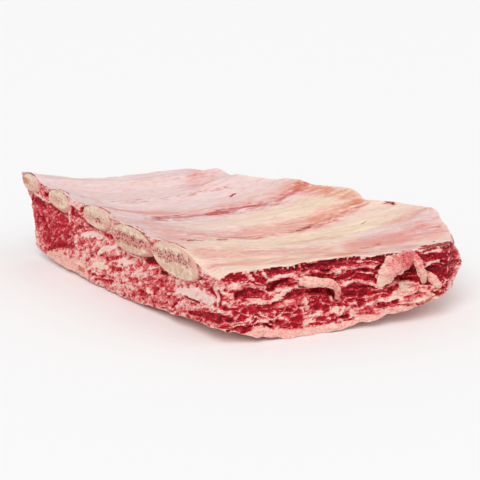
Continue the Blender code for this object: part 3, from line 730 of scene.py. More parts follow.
def side_shares(u, v):
    """How much a station belongs to each side: 1 on it, easing to 0 a little past its corners."""
    return {"near": smooth(1.0 - v / CORNER_EASE), "cut": smooth(1.0 - u / CORNER_EASE),
            "end": smooth(1.0 - (1.0 - u) / CORNER_EASE)}


def lie(u, v, y):
    """Lift added to heights so that fibres slant: they fall along the sawn face and rise along the back."""
    falling = FIBRE_SLANT * (y - NEAR_Y)
    back = FIBRE_SLANT * (CORNER_Y - NEAR_Y) * v
    return mix(falling, back, smooth(u / SLANT_TURN))


print("stations round the slab:", sum(STATIONS.values()))

# %% Ends of the bones
END_RAISE = (1.7, 0.9, 2.0, 1.5, 0.4)   # how far each bone lifts the membrane at the saw cut
RAISE_RUN = 0.03                        # share of the length over which it sinks back
END_WIDTH = (49.0, 45.0, 33.5, 27.0, 20.0)      # size of each sawn oval there, once its rim is dressed
END_THICKNESS = (20.0, 17.5, 14.2, 12.6, 12.5)


def rib_size(rib, t):
    """Half width and half height of a rib's oval, which narrows from its dressed end to its shaft."""
    shaft = smooth(t / RIB_COVER_RUN)
    width = mix(END_WIDTH[rib], RIB_WIDTH[rib] * mix(1.0, RIB_TAPER, t), shaft)
    return width / 2.0, mix(END_THICKNESS[rib], RIB_THICKNESS[rib], shaft) / 2.0


def rib_middle(rib, t):
    """Middle (x, y, z) of a rib's oval: under the top by the cover over the bone and half its height."""
    middle_y = rib_line(rib, t)
    middle_x = mix(cut_x(middle_y), far_x(middle_y), t)
    at_ends = mix(RIB_COVER_CUT, RIB_COVER_END, t)
    cover = mix(at_ends, RIB_COVER, smooth(min(t, 1.0 - t) / RIB_COVER_RUN))
    cover = cover - END_RAISE[rib] * (1.0 - smooth(t / RAISE_RUN))
    return middle_x, middle_y, top_z(middle_x, middle_y) - cover - rib_size(rib, t)[1]


def outside_bones(y, z, t):
    """Distance in mm from the nearest bone's rim, along the face: below 0 inside a bone."""
    nearest = np.full(y.shape, np.inf)
    for rib in range(len(RIB_NAMES)):
        half_width, half_height = rib_size(rib, t)
        _, middle_y, middle_z = rib_middle(rib, t)
        aside = y - middle_y
        upward = z - middle_z - RIB_ROLL[rib] * aside
        reach = (np.abs(aside / half_width) ** BONE_SQUARENESS
                 + np.abs(upward / half_height) ** BONE_SQUARENESS) ** (1.0 / BONE_SQUARENESS)
        nearest = np.minimum(nearest, (reach - 1.0) * half_height)
    return nearest


print("middle of rib 5 at the saw cut, in mm:", np.round(rib_middle(0, 0.0), 1).tolist())

# %% Where the fat cap begins
# bent lines (place along the side, height), and where each one starts to show and is full
NEAR_CAP = (
    (-46, 9.0), (-30, 8.0), (-27, 8.4), (-20, 10.6), (-10, 7.8), (8, 5.5), (14, 5.0), (27, 4.2), (30, 6.0),
    (33, 4.2), (40, 6.0), (50, 8.4), (60, 9.0), (70, 11.0), (76, 13.0), (90, 12.0), (112, 18.0),
)
NEAR_CAP_SHOWS = (-30.0, -24.0)
CUT_CAP = ((40, 3.0), (46, 12.0), (60, 12.6), (85, 12.4), (95, 10.0), (101, 6.0), (112, 4.0))
CUT_CAP_SHOWS = (40.0, 46.0)
CUT_CAP_FADES = (96.0, 108.0)
THIN_CAP = (0.5, 0.4)           # height of the cap where it doesn't show: near side, sawn face


def cap_height(share, x, y, seam):
    """Height under which a wall shows the fat cap: read off a bent line on the two sides that show best."""
    foot = bottom_z(x, y)
    near = mix(foot + THIN_CAP[0], np.interp(x, *zip(*NEAR_CAP)), rise(x, *NEAR_CAP_SHOWS))
    shows = rise(y, *CUT_CAP_SHOWS) * (1.0 - rise(y, *CUT_CAP_FADES))
    cut = mix(foot + THIN_CAP[1], np.interp(y, *zip(*CUT_CAP)), shows)
    return mix(mix(seam, near, share["near"]), cut, share["cut"])


print("highest spot of the cap on the near side, in mm:", max(height for _, height in NEAR_CAP))

# %% Grain of the walls
# fields of clouds: size in mm along X, Y and Z, number of layers, and channel of chance
CLOUDS = {
    "plenty": ((17.0, 17.0, 9.0), 2, 260),
    "fibres": ((9.0, 9.0, 1.9), 4, 310),
    "lines": ((13.0, 13.0, 3.8), 3, 330),
    "threads": ((6.0, 6.0, 2.0), 3, 350),
    "flecks": ((3.4, 3.4, 1.8), 3, 370),
    "lean threads": ((4.2, 4.2, 1.5), 3, 390),
    "relief": ((6.0, 6.0, 1.6), 4, 400),
    "fuzz": ((2.0, 2.0, 1.1), 2, 420),
    "fold_shade_lines": ((8.0, 8.0, 2.3), 3, 440),
    "patches": ((26.0, 14.0, 14.0), 4, 450),
    "veins": ((18.0, 10.0, 10.0), 3, 470),
}

# nets of fat round bundles: size in mm, thickness of the walls as a share of it, and channel
NETS = {
    "bundles": ((7.4, 7.4, 4.0), 0.25, 200),
    "long bundles": ((8.5, 8.5, 4.4), 0.24, 220),
    "fibre bundles": ((2.7, 2.7, 1.6), 0.30, 240),
}

BIG_BENDS = (np.array([9.0, 9.0, 5.0]), 2.0, 100)       # size, reach in mm and channel of the warps
SMALL_BENDS = (np.array([3.0, 3.0, 1.8]), 0.7, 140)
WEB_TOP = 27.0                  # height under which the sides show a net of fat round their bundles
WEB_FADE = 8.0
WEB_HIGH = 0.25                 # share of that net which is left above it


def field(kind, place, shift=0.0):
    """One of the fields of clouds, from 0 to 1."""
    size, layers, channel = CLOUDS[kind]
    return layered(place / np.array(size) + shift, layers, channel)


def net(kind, place):
    """One of the nets: 1 on the walls between bundles and 0 inside them."""
    size, thickness, channel = NETS[kind]
    return 1.0 - smooth(cells(place / np.array(size), channel) / thickness)


def marbling(spot, bent, fine, across):
    """Two grains mixed by the share of wall that cuts across the ribs: streaks along, a mosaic across.

    Along the ribs, long fibres with thin pale lines; across them, rounded bundles in a net of fat.
    Returns the grain of fibres around 0, the net of fat round the bundles low on the sides, and the
    whole field, which is 0 for muscle and 1 for fat. Each field is a level plus weighted clouds.
    """
    fuzz = field("fuzz", fine) - 0.5
    plenty = field("plenty", spot) - 0.5
    streaks = field("fibres", bent) - 0.5 + 0.45 * fuzz
    lines = ridge(field("lines", bent), 0.035)
    threads = ridge(field("threads", fine), 0.045)
    web = mix(WEB_HIGH, 1.0, smooth((WEB_TOP - spot[..., 2]) / WEB_FADE)) * net("long bundles", bent)
    along = 0.34 + 1.2 * streaks + 0.24 * lines + 0.32 * threads + 0.30 * web + 0.4 * plenty
    flecks = field("flecks", bent) - 0.5 + 0.5 * fuzz
    walls = 0.17 * net("bundles", bent) + 0.14 * net("fibre bundles", fine + 40.0)
    mosaic = 0.48 + 0.66 * flecks + walls + 0.25 * plenty
    return mix(streaks, flecks, across), web * (1.0 - across), mix(along, mosaic, across)


print("fields of clouds:", ", ".join(CLOUDS), "and nets:", ", ".join(NETS))

# %% Marks of the strokes
KINDS = ("pale", "lean", "bright", "rose", "fold_shade_and_tears", "cream", "stain")
MARK_SOFT = 0.35                # share of a stroke's width over which its edge fades
FOLD_SHADE_SOFT = 1.0                 # the painted shade of the folds fades slower
NEAR_JITTER = 1.6               # how ragged the grain makes the strokes' edges
CUT_JITTER = 0.8
FOLD_SHADE_LINE = 0.28                # strength of the painted shade of thin folds between the strokes
FOLD_SHADE_ACROSS = 0.3          # share of it that is left across the ribs


def stroke_marks(share, a, b, height, grain, bent, across):
    """Strength of each kind of stroke on the two sides that have them, and of the painted shade of thin folds
    between.
    """
    marks = {}
    for kind in KINDS:
        soft = FOLD_SHADE_SOFT if kind == "fold_shade_and_tears" else MARK_SOFT
        near = share["near"] * strokes(NEAR_SIDE[kind], a, height, NEAR_JITTER * grain, soft)
        marks[kind] = near + share["cut"] * strokes(CUT_FACE[kind], b, height, CUT_JITTER * grain, soft)
    # painted shade of thin folds: dark lines where clouds cross their middle value
    fold_shade_lines = FOLD_SHADE_LINE * ridge(field("fold_shade_lines", bent, 60.0), 0.035)
    marks["fold_shade_and_tears"] = np.maximum(marks["fold_shade_and_tears"], fold_shade_lines * mix(1.0, FOLD_SHADE_ACROSS, across))
    return marks


print("kinds of strokes:", ", ".join(KINDS))

# %% Ragged edge of the membrane
BARE_RIM = (105.0, 14.0)        # stretch of the near side where the membrane is torn off: middle, half width
HANG = 0.3                      # how far in mm the membrane's edge hangs over the rim
HANG_THREADS = 11.0             # further hang of its thin threads
HANG_TONGUES = 3.0              # and of its wide tongues
HANG_OVER_BONE = 4.0            # and of the skin that covers a bone's end
HANG_AT_CUT = 0.6               # share of all that at the saw cut
HANG_EDGE = 0.9                 # mm over which its edge fades


def membrane_rim(place, share, across, from_top, from_bone):
    """Cover of a spot by the membrane's edge: it hangs in threads and tongues, clouds drawn out upright."""
    x, y, z = place[..., 0], place[..., 1], place[..., 2]
    turned = np.stack([x + y, x - y, z], -1)
    threads = layered(turned / np.array([1.9, 1.9, 16.0]), 3, 300)
    tongues = layered(turned / np.array([9.0, 9.0, 30.0]), 2, 305)
    hang = HANG + HANG_THREADS * np.maximum(0.0, threads - 0.48) ** 1.1
    hang = hang + HANG_TONGUES * np.maximum(0.0, tongues - 0.5)
    hang = hang * (1.0 - share["near"] * bump(x, *BARE_RIM))
    hang = hang + HANG_OVER_BONE * across * smooth((4.0 - from_bone) / 2.0)
    return smooth((hang * mix(1.0, HANG_AT_CUT, share["cut"]) - from_top) / HANG_EDGE + 0.5)


print("plain hang of the edge:", HANG, "mm, and of its threads:", HANG_THREADS)

# %% Masks of the walls
# levels of the fat mask: 0 is dark muscle, 0.5 salmon and 1 white fat; two numbers are along and across
MUSCLE_LEVEL = (0.15, 0.28)
PALE_LEVEL = (0.50, 0.58)
ROSE_LEVEL = 0.50
# painted shade: the dark muscle level that folds and creases are drawn to
FOLD_SHADE_LEVEL = 0.10
RIM_LEVEL = 0.74
COLLAR_LEVEL = 0.60             # tissue round the bones
CAP_LEVEL = 0.73
COLLAR_WIDTH = 2.2              # mm round a bone that this tissue takes up


def wall_masks(u, v, place):
    """Masks of wall spots: what each is made of, how much painted shade falls on it in a fold, and how cream,
    bright or stained.

    Each kind of stroke draws the fat mask towards its own level, and the grain of fibres stays on top.
    """
    x, y, z = place[..., 0], place[..., 1], place[..., 2]
    share = side_shares(u, v)
    across = np.maximum(share["cut"], share["end"])
    spot = np.stack([x, y, z + lie(u, v, y)], -1)
    bent, fine = warped(spot, *BIG_BENDS), warped(spot, *SMALL_BENDS)
    drift = 0.45 * (bent - spot) + 0.5 * (fine - spot)
    grain, web, fat = marbling(spot, bent, fine, across)
    a, b, height = x + drift[..., 0], y + drift[..., 1], z + 0.7 * drift[..., 2]
    marks = stroke_marks(share, a, b, height, grain, bent, across)

    # the strokes, from the broadest kind to the painted shade of the folds
    fat = mix(fat, ROSE_LEVEL + 0.9 * grain, np.clip(marks["rose"], 0.0, 1.0))
    threads = ridge(field("lean threads", fine), 0.05)
    muscle = mix(*MUSCLE_LEVEL, across) + mix(1.1, 0.85, across) * grain + mix(0.36, 0.26, across) * threads
    muscle = muscle + 0.42 * web - 0.5 * np.maximum(marks["lean"] - 1.0, 0.0)
    fat = mix(fat, muscle, np.clip(marks["lean"], 0.0, 1.0))
    pale = mix(*PALE_LEVEL, across) + 0.22 * marks["pale"] + mix(0.8, 0.5, across) * grain
    fat = mix(fat, pale, smooth(marks["pale"] / 0.8))
    # painted shade: folds, creases and hollows are drawn towards dark muscle
    fat = mix(fat, FOLD_SHADE_LEVEL + 0.3 * grain, np.clip(1.2 * marks["fold_shade_and_tears"], 0.0, 1.0))

    # pale threads of the membrane's edge hang over the rim
    top = top_z(x, y)
    from_bone = np.where(u < 0.5, outside_bones(y, z, 0.0), outside_bones(y, z, 1.0))
    rim = membrane_rim(place, share, across, top - z, from_bone)
    fat = mix(fat, RIM_LEVEL + 0.7 * grain, rim)

    # pale tissue with blood spots round the bones, save in the folds and the muscle
    collar = across * smooth((COLLAR_WIDTH - from_bone + 4.0 * grain) / 1.6)
    collar = collar * (1.0 - rise(marks["fold_shade_and_tears"], 0.3, 0.6)) * (1.0 - 0.8 * smooth(marks["lean"] / 0.7))
    fat = mix(fat, COLLAR_LEVEL + 0.9 * grain, 0.9 * collar)
    spots = np.maximum(collar, 0.5 * across * smooth((9.0 - (top - z)) / 3.0))

    # the foot of the wall turns into the fat cap
    foot = bottom_z(x, y)
    seam = foot + fat_share(u, v) * (top - foot)
    into_cap = smooth((cap_height(share, x, y, seam) - z + 3.0 * grain) / 0.9 + 0.5)
    fat = mix(fat, CAP_LEVEL + 0.18 * grain, into_cap)
    cream = np.maximum(0.45 + 0.5 * marks["cream"], 0.85 * into_cap) - 0.35 * rim * (1.0 - into_cap)
    # painted shade of the folds, kept off the fat cap and the membrane's rim
    fold_shade_and_tears = marks["fold_shade_and_tears"] * (1.0 - into_cap) * (1.0 - 0.7 * rim)
    shown = {"fold_shade_and_tears": fold_shade_and_tears, "cream": cream, "bright": marks["bright"], "stain": marks["stain"], "spots": spots}
    masks = {key: np.clip(mask, 0.0, 1.0) for key, mask in shown.items()}
    return {"fat": fat, "from_bone": from_bone, "across": across, **masks}


print("levels of fold, muscle and fat:", FOLD_SHADE_LEVEL, MUSCLE_LEVEL, PALE_LEVEL)

# %% Masks of the underside, and the push of the walls
POCKET = -4.0                   # push inside a bone's outline, where the meat makes room for the bone


def under_masks(place):
    """Masks of the underside: soft fat with pinker patches where the muscle shines through."""
    patches = field("patches", place)
    veins = ridge(field("veins", place), 0.02)
    fat = 0.80 - 0.9 * np.maximum(patches - 0.55, 0.0) - 0.25 * veins
    none = dict.fromkeys(("bright", "fold_shade_and_tears", "stain", "spots"), np.zeros(patches.shape))
    return {"fat": fat, "cream": 0.9 - 0.5 * patches, **none}


def wall_push(place, masks):
    """How far a wall spot moves outward, in mm: fat stands out, folds and muscle sink, bones have pockets."""
    push = 1.6 * (field("relief", place) - 0.5) + 1.2 * rise(masks["fat"], 0.15, 0.75) - 0.9
    push = push - 1.5 * masks["fold_shade_and_tears"]
    pocket = masks["across"] * smooth((0.4 - masks["from_bone"]) / 0.8)
    return mix(push, POCKET, pocket)


print("the meat makes room for a bone by", -POCKET, "mm")

# %% [markdown]
# ## Meshes from rings
#
# Walls, bones and strips are all stacks of closed rings. One maker serves them all: it skins the rings
# with four-sided faces and closes each end with a fan, so that every piece is a closed body.

# %% Make a mesh from arrays


def to_metres(points):
    """Move the middle of the plan to the origin and turn millimetres into metres."""
    return (points - np.array([PLAN_CENTRE[0], PLAN_CENTRE[1], 0.0])) * MM


def make_piece(name, points, quads, triangles, material, masks):
    """Fill a mesh from whole arrays, with its masks as attributes, and shade it smooth."""
    mesh = bpy.data.meshes.new(name)
    mesh.vertices.add(len(points))
    mesh.vertices.foreach_set("co", to_metres(points).astype(np.float32).ravel())
    mesh.loops.add(quads.size + triangles.size)
    corners = np.concatenate([quads.ravel(), triangles.ravel()])
    mesh.loops.foreach_set("vertex_index", corners.astype(np.int32))
    mesh.polygons.add(len(quads) + len(triangles))
    starts = np.concatenate([4 * np.arange(len(quads)), quads.size + 3 * np.arange(len(triangles))])
    mesh.polygons.foreach_set("loop_start", starts.astype(np.int32))
    mesh.update(calc_edges=True)
    mesh.validate()
    mesh.shade_smooth()
    for mask, values in masks.items():
        attribute = mesh.attributes.new(mask, "FLOAT", "POINT")
        attribute.data.foreach_set("value", np.asarray(values, np.float32).ravel())
    mesh.materials.append(material)
    piece = bpy.data.objects.new(name, mesh)
    bpy.context.scene.collection.objects.link(piece)
    print(f"{name}: {2 * len(quads) + len(triangles)} triangles")
    return piece


def ring_faces(rings, sides):
    """Corners of the faces between stacked rings, and of a fan at each end round one extra point."""
    ring, side = np.meshgrid(np.arange(rings - 1), np.arange(sides), indexing="ij")
    after = (side + 1) % sides
    quads = np.stack([ring * sides + side, ring * sides + after,
                      (ring + 1) * sides + after, (ring + 1) * sides + side], -1).reshape(-1, 4)
    side = np.arange(sides)
    after = (side + 1) % sides
    first, last = rings * sides, rings * sides + 1
    low = np.stack([after, side, np.full(sides, first)], -1)
    high = np.stack([(rings - 1) * sides + side, (rings - 1) * sides + after, np.full(sides, last)], -1)
    return quads, np.concatenate([low, high])


def volume(points, quads, triangles):
    """Signed volume: the sum of the tetrahedra from the origin to each face."""
    fans = np.concatenate([triangles, quads[:, [0, 1, 2]], quads[:, [0, 2, 3]]])
    a, b, c = points[fans[:, 0]], points[fans[:, 1]], points[fans[:, 2]]
    return float(np.sum(np.einsum("ij,ij->i", a, np.cross(b, c))) / 6.0)


def ring_piece(name, rings, material, masks):
    """Skin an array of rings (ring, side, xyz), turning the faces outward if the volume is negative."""
    count, sides = rings.shape[:2]
    points = np.concatenate([rings.reshape(-1, 3), rings[:1].mean(1), rings[-1:].mean(1)])
    values = {}
    for key, mask in masks.items():
        values[key] = np.concatenate([mask.ravel(), [mask[0].mean(), mask[-1].mean()]])
    quads, triangles = ring_faces(count, sides)
    if volume(points, quads, triangles) < 0.0:
        quads, triangles = quads[:, ::-1], triangles[:, ::-1]
    return make_piece(name, points, quads, triangles, material, values)


# %% [markdown]
# ## Finishes
#
# Raw tissue has no even colour anywhere. Each finish starts from the masks of the mesh and breaks their
# edges up with a finer grain, so that a vein of fat stays sharp however near one looks. The grain is a
# node group, built once and used by flesh, membrane and bone with their own sizes.

# %% Node helpers


def paint(red, green, blue):
    """A screen colour of 0 to 255 as linear light: the screen curve undone."""
    screen = np.array([red, green, blue]) / 255.0
    light = np.where(screen <= 0.04045, screen / 12.92, ((screen + 0.055) / 1.055) ** 2.4)
    return (*light.tolist(), 1.0)


def add(tree, kind, inputs=None, **settings):
    """Add a node, set its properties, then fill its inputs: a socket is linked and a value is set."""
    node = tree.nodes.new(kind)
    for key, value in settings.items():
        setattr(node, key, value)
    for key, value in (inputs or {}).items():
        if isinstance(value, bpy.types.NodeSocket):
            tree.links.new(value, node.inputs[key])
        else:
            node.inputs[key].default_value = value
    return node


def maths(tree, operation, a, b, clamp=False):
    """Result of a maths node."""
    return add(tree, "ShaderNodeMath", {0: a, 1: b}, operation=operation, use_clamp=clamp).outputs[0]


def plus(tree, a, b):
    """a + b"""
    return maths(tree, "ADD", a, b)


def minus(tree, a, b):
    """a - b"""
    return maths(tree, "SUBTRACT", a, b)


def times(tree, a, b):
    """a times b"""
    return maths(tree, "MULTIPLY", a, b)


def lay_over(tree, colour, over, factor, strength=1.0):
    """Mix a colour towards another one by a factor, weakened to the given strength."""
    share = factor if strength == 1.0 else times(tree, factor, strength)
    return add(tree, "ShaderNodeMix", {0: share, 6: colour, 7: over}, data_type="RGBA").outputs[2]


def ease(tree, value, low, high):
    """0 below low, 1 above high, smooth between them."""
    node = add(tree, "ShaderNodeMapRange", {"Value": value, "From Min": low, "From Max": high},
               interpolation_type="SMOOTHSTEP")
    return node.outputs["Result"]


def mask_of(tree, name):
    """A mask that the mesh carries, read at each spot of it."""
    return add(tree, "ShaderNodeAttribute", attribute_name=name).outputs["Fac"]


print("middle grey as linear light:", round(paint(128, 128, 128)[0], 3))

# %% The grain of tissue, as a node group


def tissue_grain():
    """Four noises at one stretched place: broad patches, fibres, fine grain, and distances to specks."""
    group = bpy.data.node_groups.new("tissue grain", "ShaderNodeTree")
    group.interface.new_socket("Vector", in_out="INPUT", socket_type="NodeSocketVector")
    group.interface.new_socket("Stretch", in_out="INPUT", socket_type="NodeSocketVector")
    for name in ("Broad", "Fibre", "Fine", "Specks"):
        group.interface.new_socket(name, in_out="OUTPUT", socket_type="NodeSocketFloat")
    given = group.nodes.new("NodeGroupInput").outputs
    place = add(group, "ShaderNodeVectorMath", {0: given["Vector"], 1: given["Stretch"]},
                operation="MULTIPLY").outputs[0]
    broad = add(group, "ShaderNodeTexNoise", {"Vector": place, "Scale": 0.12, "Detail": 3.0})
    fibre = add(group, "ShaderNodeTexNoise",
                {"Vector": place, "Scale": 0.5, "Detail": 4.0, "Distortion": 0.6})
    fine = add(group, "ShaderNodeTexNoise",
               {"Vector": place, "Scale": 1.3, "Detail": 5.0, "Roughness": 0.65})
    specks = add(group, "ShaderNodeTexVoronoi", {"Vector": place, "Scale": 0.9})
    result = group.nodes.new("NodeGroupOutput").inputs
    group.links.new(broad.outputs[0], result["Broad"])
    group.links.new(fibre.outputs[0], result["Fibre"])
    group.links.new(fine.outputs[0], result["Fine"])
    group.links.new(specks.outputs["Distance"], result["Specks"])
    return group


GRAIN = tissue_grain()


def grain_at(tree, stretch):
    """Place the grain in a material, on Object coordinates in millimetres, stretched along the fibres."""
    place = add(tree, "ShaderNodeTexCoord").outputs["Object"]
    in_mm = [1000.0 * part for part in stretch]
    return add(tree, "ShaderNodeGroup", {"Vector": place, "Stretch": in_mm}, node_tree=GRAIN).outputs


def ramp_of(tree, value, stops):
    """A colour ramp from stops of (position, screen colour)."""
    ramp = add(tree, "ShaderNodeValToRGB", {"Fac": value})
    elements = ramp.color_ramp.elements
    elements[1].position = stops[-1][0]
    elements[1].color = paint(*stops[-1][1])
    elements[0].color = paint(*stops[0][1])
    for position, colour in stops[1:-1]:
        elements.new(position).color = paint(*colour)
    return ramp.outputs["Color"]


def new_finish(name):
    """An empty material: its node tree and its shader."""
    material = bpy.data.materials.new(name)
    material.use_nodes = True
    return material, material.node_tree, material.node_tree.nodes["Principled BSDF"]


def finish_surface(tree, shader, colour, height, strength, depth):
    """Give the shader its colour and the fine relief of a height, whose depth is in metres."""
    tree.links.new(colour, shader.inputs["Base Color"])
    relief = add(tree, "ShaderNodeBump", {"Height": height, "Strength": strength, "Distance": depth})
    tree.links.new(relief.outputs["Normal"], shader.inputs["Normal"])


def set_sheen(shader, specular, weight, reach, scale):
    """Uniform settings: how much the surface shines, and how light wanders under it, by colour."""
    shader.inputs["Specular IOR Level"].default_value = specular
    shader.inputs["Subsurface Weight"].default_value = weight
    shader.inputs["Subsurface Radius"].default_value = reach
    shader.inputs["Subsurface Scale"].default_value = scale


# %% Flesh: muscle and fat
FLESH_STRETCH = (0.55, 0.55, 1.1)
FLESH_COLOURS = (
    (0.0, (88, 1, 12)), (0.15, (134, 4, 24)), (0.30, (176, 12, 36)), (0.42, (196, 48, 60)),
    (0.53, (214, 102, 102)), (0.66, (231, 156, 148)), (0.82, (241, 196, 186)), (1.0, (246, 224, 215)),
)
COLD_FAT, CREAM_FAT = paint(222, 198, 204), paint(234, 204, 176)
BRIGHT_MUSCLE = paint(196, 12, 36)
BLOOD_SPOT = paint(165, 52, 62)
BROWN_STAIN = paint(178, 74, 34)
# painted shade, laid over the folds, creases and hollows
PAINTED_FOLD_SHADE = paint(112, 4, 20)


def flesh(name):
    """One ramp from dark muscle over salmon to white fat, read at the fat mask plus fine grain."""
    material, tree, shader = new_finish(name)
    grain = grain_at(tree, FLESH_STRETCH)
    rough_edge = times(tree, minus(tree, grain["Fine"], 0.5), 0.85)
    level = plus(tree, rough_edge, mask_of(tree, "fat"))
    colour = ramp_of(tree, level, FLESH_COLOURS)
    warmth = lay_over(tree, COLD_FAT, CREAM_FAT, mask_of(tree, "cream"))
    colour = lay_over(tree, colour, warmth, ease(tree, level, 0.60, 0.90), 0.55)
    in_muscle = minus(tree, 1.0, ease(tree, level, 0.25, 0.50))
    colour = lay_over(tree, colour, BRIGHT_MUSCLE, times(tree, in_muscle, mask_of(tree, "bright")), 0.50)
    dots = ease(tree, minus(tree, 0.40, grain["Specks"]), 0.0, 0.14)
    colour = lay_over(tree, colour, BLOOD_SPOT, times(tree, dots, mask_of(tree, "spots")), 0.7)
    colour = lay_over(tree, colour, BROWN_STAIN, mask_of(tree, "stain"), 0.8)
    # painted shade: darkens the folds, creases and hollows of the meat
    colour = lay_over(tree, colour, PAINTED_FOLD_SHADE, mask_of(tree, "fold_shade_and_tears"), 0.60)
    finish_surface(tree, shader, colour, grain["Fine"], 0.45, 0.0005)
    rough = plus(tree, times(tree, grain["Broad"], 0.25), 0.30)
    tree.links.new(rough, shader.inputs["Roughness"])
    set_sheen(shader, 0.13, 0.06, (1.0, 0.35, 0.25), 0.0015)
    return material


RAW_MEAT = flesh("raw meat")
SOFT_FAT = flesh("soft fat")
print("flesh:", len(RAW_MEAT.node_tree.nodes), "nodes")

# %% Membrane over the bone side
ALONG_RIBS = (0.10, 0.9, 0.9)       # stretch of the streaks
MOTTLED = (0.35, 0.8, 0.8)          # and of the patches
MEMBRANE_COLOURS = (
    (0.0, (234, 208, 207)), (0.35, (240, 211, 204)), (0.65, (248, 218, 200)), (1.0, (249, 222, 194)),
)
PINK_FLUSH = paint(229, 146, 134)
RED_STREAK = paint(188, 66, 68)
AMBER_RIM = paint(218, 128, 84)
PEARL = paint(248, 232, 220)
BARE_MUSCLE, BARE_FAT = paint(140, 3, 22), paint(218, 128, 118)


def membrane_finish():
    """Lilac to cream by the tone mask, streaked along the ribs, with pink, red and orange laid over."""
    material, tree, shader = new_finish("moist membrane")
    grain, patches = grain_at(tree, ALONG_RIBS), grain_at(tree, MOTTLED)
    streak, hair = minus(tree, grain["Fibre"], 0.5), minus(tree, grain["Fine"], 0.5)
    mottle = minus(tree, patches["Fibre"], 0.5)
    unrest = plus(tree, times(tree, streak, 1.5), times(tree, hair, 1.1))
    unrest = plus(tree, unrest, times(tree, mottle, 1.1))
    colour = ramp_of(tree, plus(tree, mask_of(tree, "tone"), streak), MEMBRANE_COLOURS)
    flush = plus(tree, plus(tree, mask_of(tree, "flush"), 0.22), unrest)
    colour = lay_over(tree, colour, PINK_FLUSH, ease(tree, flush, 0.0, 1.3), 0.85)
    red = plus(tree, mask_of(tree, "blood"), unrest)
    colour = lay_over(tree, colour, RED_STREAK, ease(tree, red, 0.35, 1.3), 0.9)
    amber = maths(tree, "MULTIPLY", mask_of(tree, "amber"), plus(tree, 0.65, unrest), clamp=True)
    colour = lay_over(tree, colour, AMBER_RIM, amber)
    pearl = ease(tree, minus(tree, 0.0, unrest), 0.15, 0.6)
    colour = lay_over(tree, colour, PEARL, pearl, 0.5)
    # on the membrane this mask holds only the slits and the torn patch, where bare meat shows
    torn = ease(tree, plus(tree, mask_of(tree, "fold_shade_and_tears"), times(tree, hair, 0.8)), 0.25, 0.6)
    torn = times(tree, torn, 0.97)
    bare = lay_over(tree, BARE_MUSCLE, BARE_FAT, ease(tree, patches["Fine"], 0.48, 0.64))
    colour = lay_over(tree, colour, bare, torn)
    finish_surface(tree, shader, colour, unrest, 0.5, 0.0006)
    rough = plus(tree, times(tree, patches["Fibre"], 0.25), 0.30)
    rough = plus(tree, rough, times(tree, torn, 0.4))
    tree.links.new(rough, shader.inputs["Roughness"])
    set_sheen(shader, 0.22, 0.08, (1.0, 0.5, 0.4), 0.002)
    return material


MEMBRANE = membrane_finish()
print("membrane:", len(MEMBRANE.node_tree.nodes), "nodes")

# %% Bone
BONE_STRETCH = (0.62, 0.62, 0.72)
DARK_BONE, PALE_BONE = paint(208, 176, 150), paint(236, 213, 192)
MARROW_RED, MARROW_HOLE = paint(214, 148, 136), paint(146, 34, 42)
BONE_BROWN = paint(190, 108, 70)
BONE_SKIN = paint(224, 168, 152)


def bone_finish():
    """Cream bone; the marrow mask shows a dotted red core; the tan mask browns it."""
    material, tree, shader = new_finish("sawn bone")
    grain = grain_at(tree, BONE_STRETCH)
    fine = times(tree, minus(tree, grain["Fine"], 0.5), 0.9)
    colour = lay_over(tree, DARK_BONE, PALE_BONE, ease(tree, grain["Fibre"], 0.3, 0.7))
    colour = lay_over(tree, colour, MARROW_RED, mask_of(tree, "marrow"), 0.8)
    spongy = plus(tree, minus(tree, 0.62, grain["Specks"]), fine)
    holes = times(tree, ease(tree, spongy, 0.08, 0.34), mask_of(tree, "marrow"))
    colour = lay_over(tree, colour, MARROW_HOLE, holes, 0.9)
    colour = lay_over(tree, colour, BONE_BROWN, mask_of(tree, "tan"), 0.75)
    ragged = plus(tree, mask_of(tree, "skin"), times(tree, fine, 1.8))
    colour = lay_over(tree, colour, BONE_SKIN, ease(tree, ragged, 0.3, 1.0), 0.7)
    finish_surface(tree, shader, colour, minus(tree, grain["Fine"], holes), 0.5, 0.0005)
    shader.inputs["Roughness"].default_value = 0.45
    set_sheen(shader, 0.25, 0.06, (1.0, 0.7, 0.5), 0.0015)
    return material


BONE = bone_finish()
print("bone:", len(BONE.node_tree.nodes), "nodes")

# %% [markdown]
# ## The meat
#
# The meat's wall goes once round the slab. Its stations are dense on the near side and the sawn face and
# wider apart on the back. Above and below, a few rings run inward under the membrane and over the fat cap.

# %% Meat
MEAT_ROWS = 76
CAP_STEPS = np.array([0.985, 0.965, 0.93, 0.88, 0.8, 0.7, 0.55, 0.35, 0.15])
UNDER_MEMBRANE = 0.6            # how far the meat's rim lies under the membrane's top
INWARD_SINK = 4.0               # and how much deeper it lies inside, where nothing shows
SINK_RUN = 0.10                 # share of the plan over which it sinks
OVER_SEAM = 0.2                 # how far the meat's inner rings stay above the seam with the fat cap
WALL_MASKS = ("fat", "fold_shade_and_tears", "cream", "bright", "stain", "spots")
EASE_RINGS = 4                  # rings over which the wall's masks give way to the underside's


def wall_rings(u, v, low, high, rows):
    """Rings up the wall from share low to share high of the slab's height, pushed out by the masks."""
    level = np.linspace(0.0, 1.0, rows)[:, None]
    ring_u, ring_v = np.broadcast_to(u, (rows, len(u))), np.broadcast_to(v, (rows, len(v)))
    place = slab(ring_u, ring_v, mix(low, high, level))
    masks = wall_masks(ring_u, ring_v, place)
    place[..., :2] += wall_push(place, masks)[..., None] * border_outward(u, v)
    return place, masks


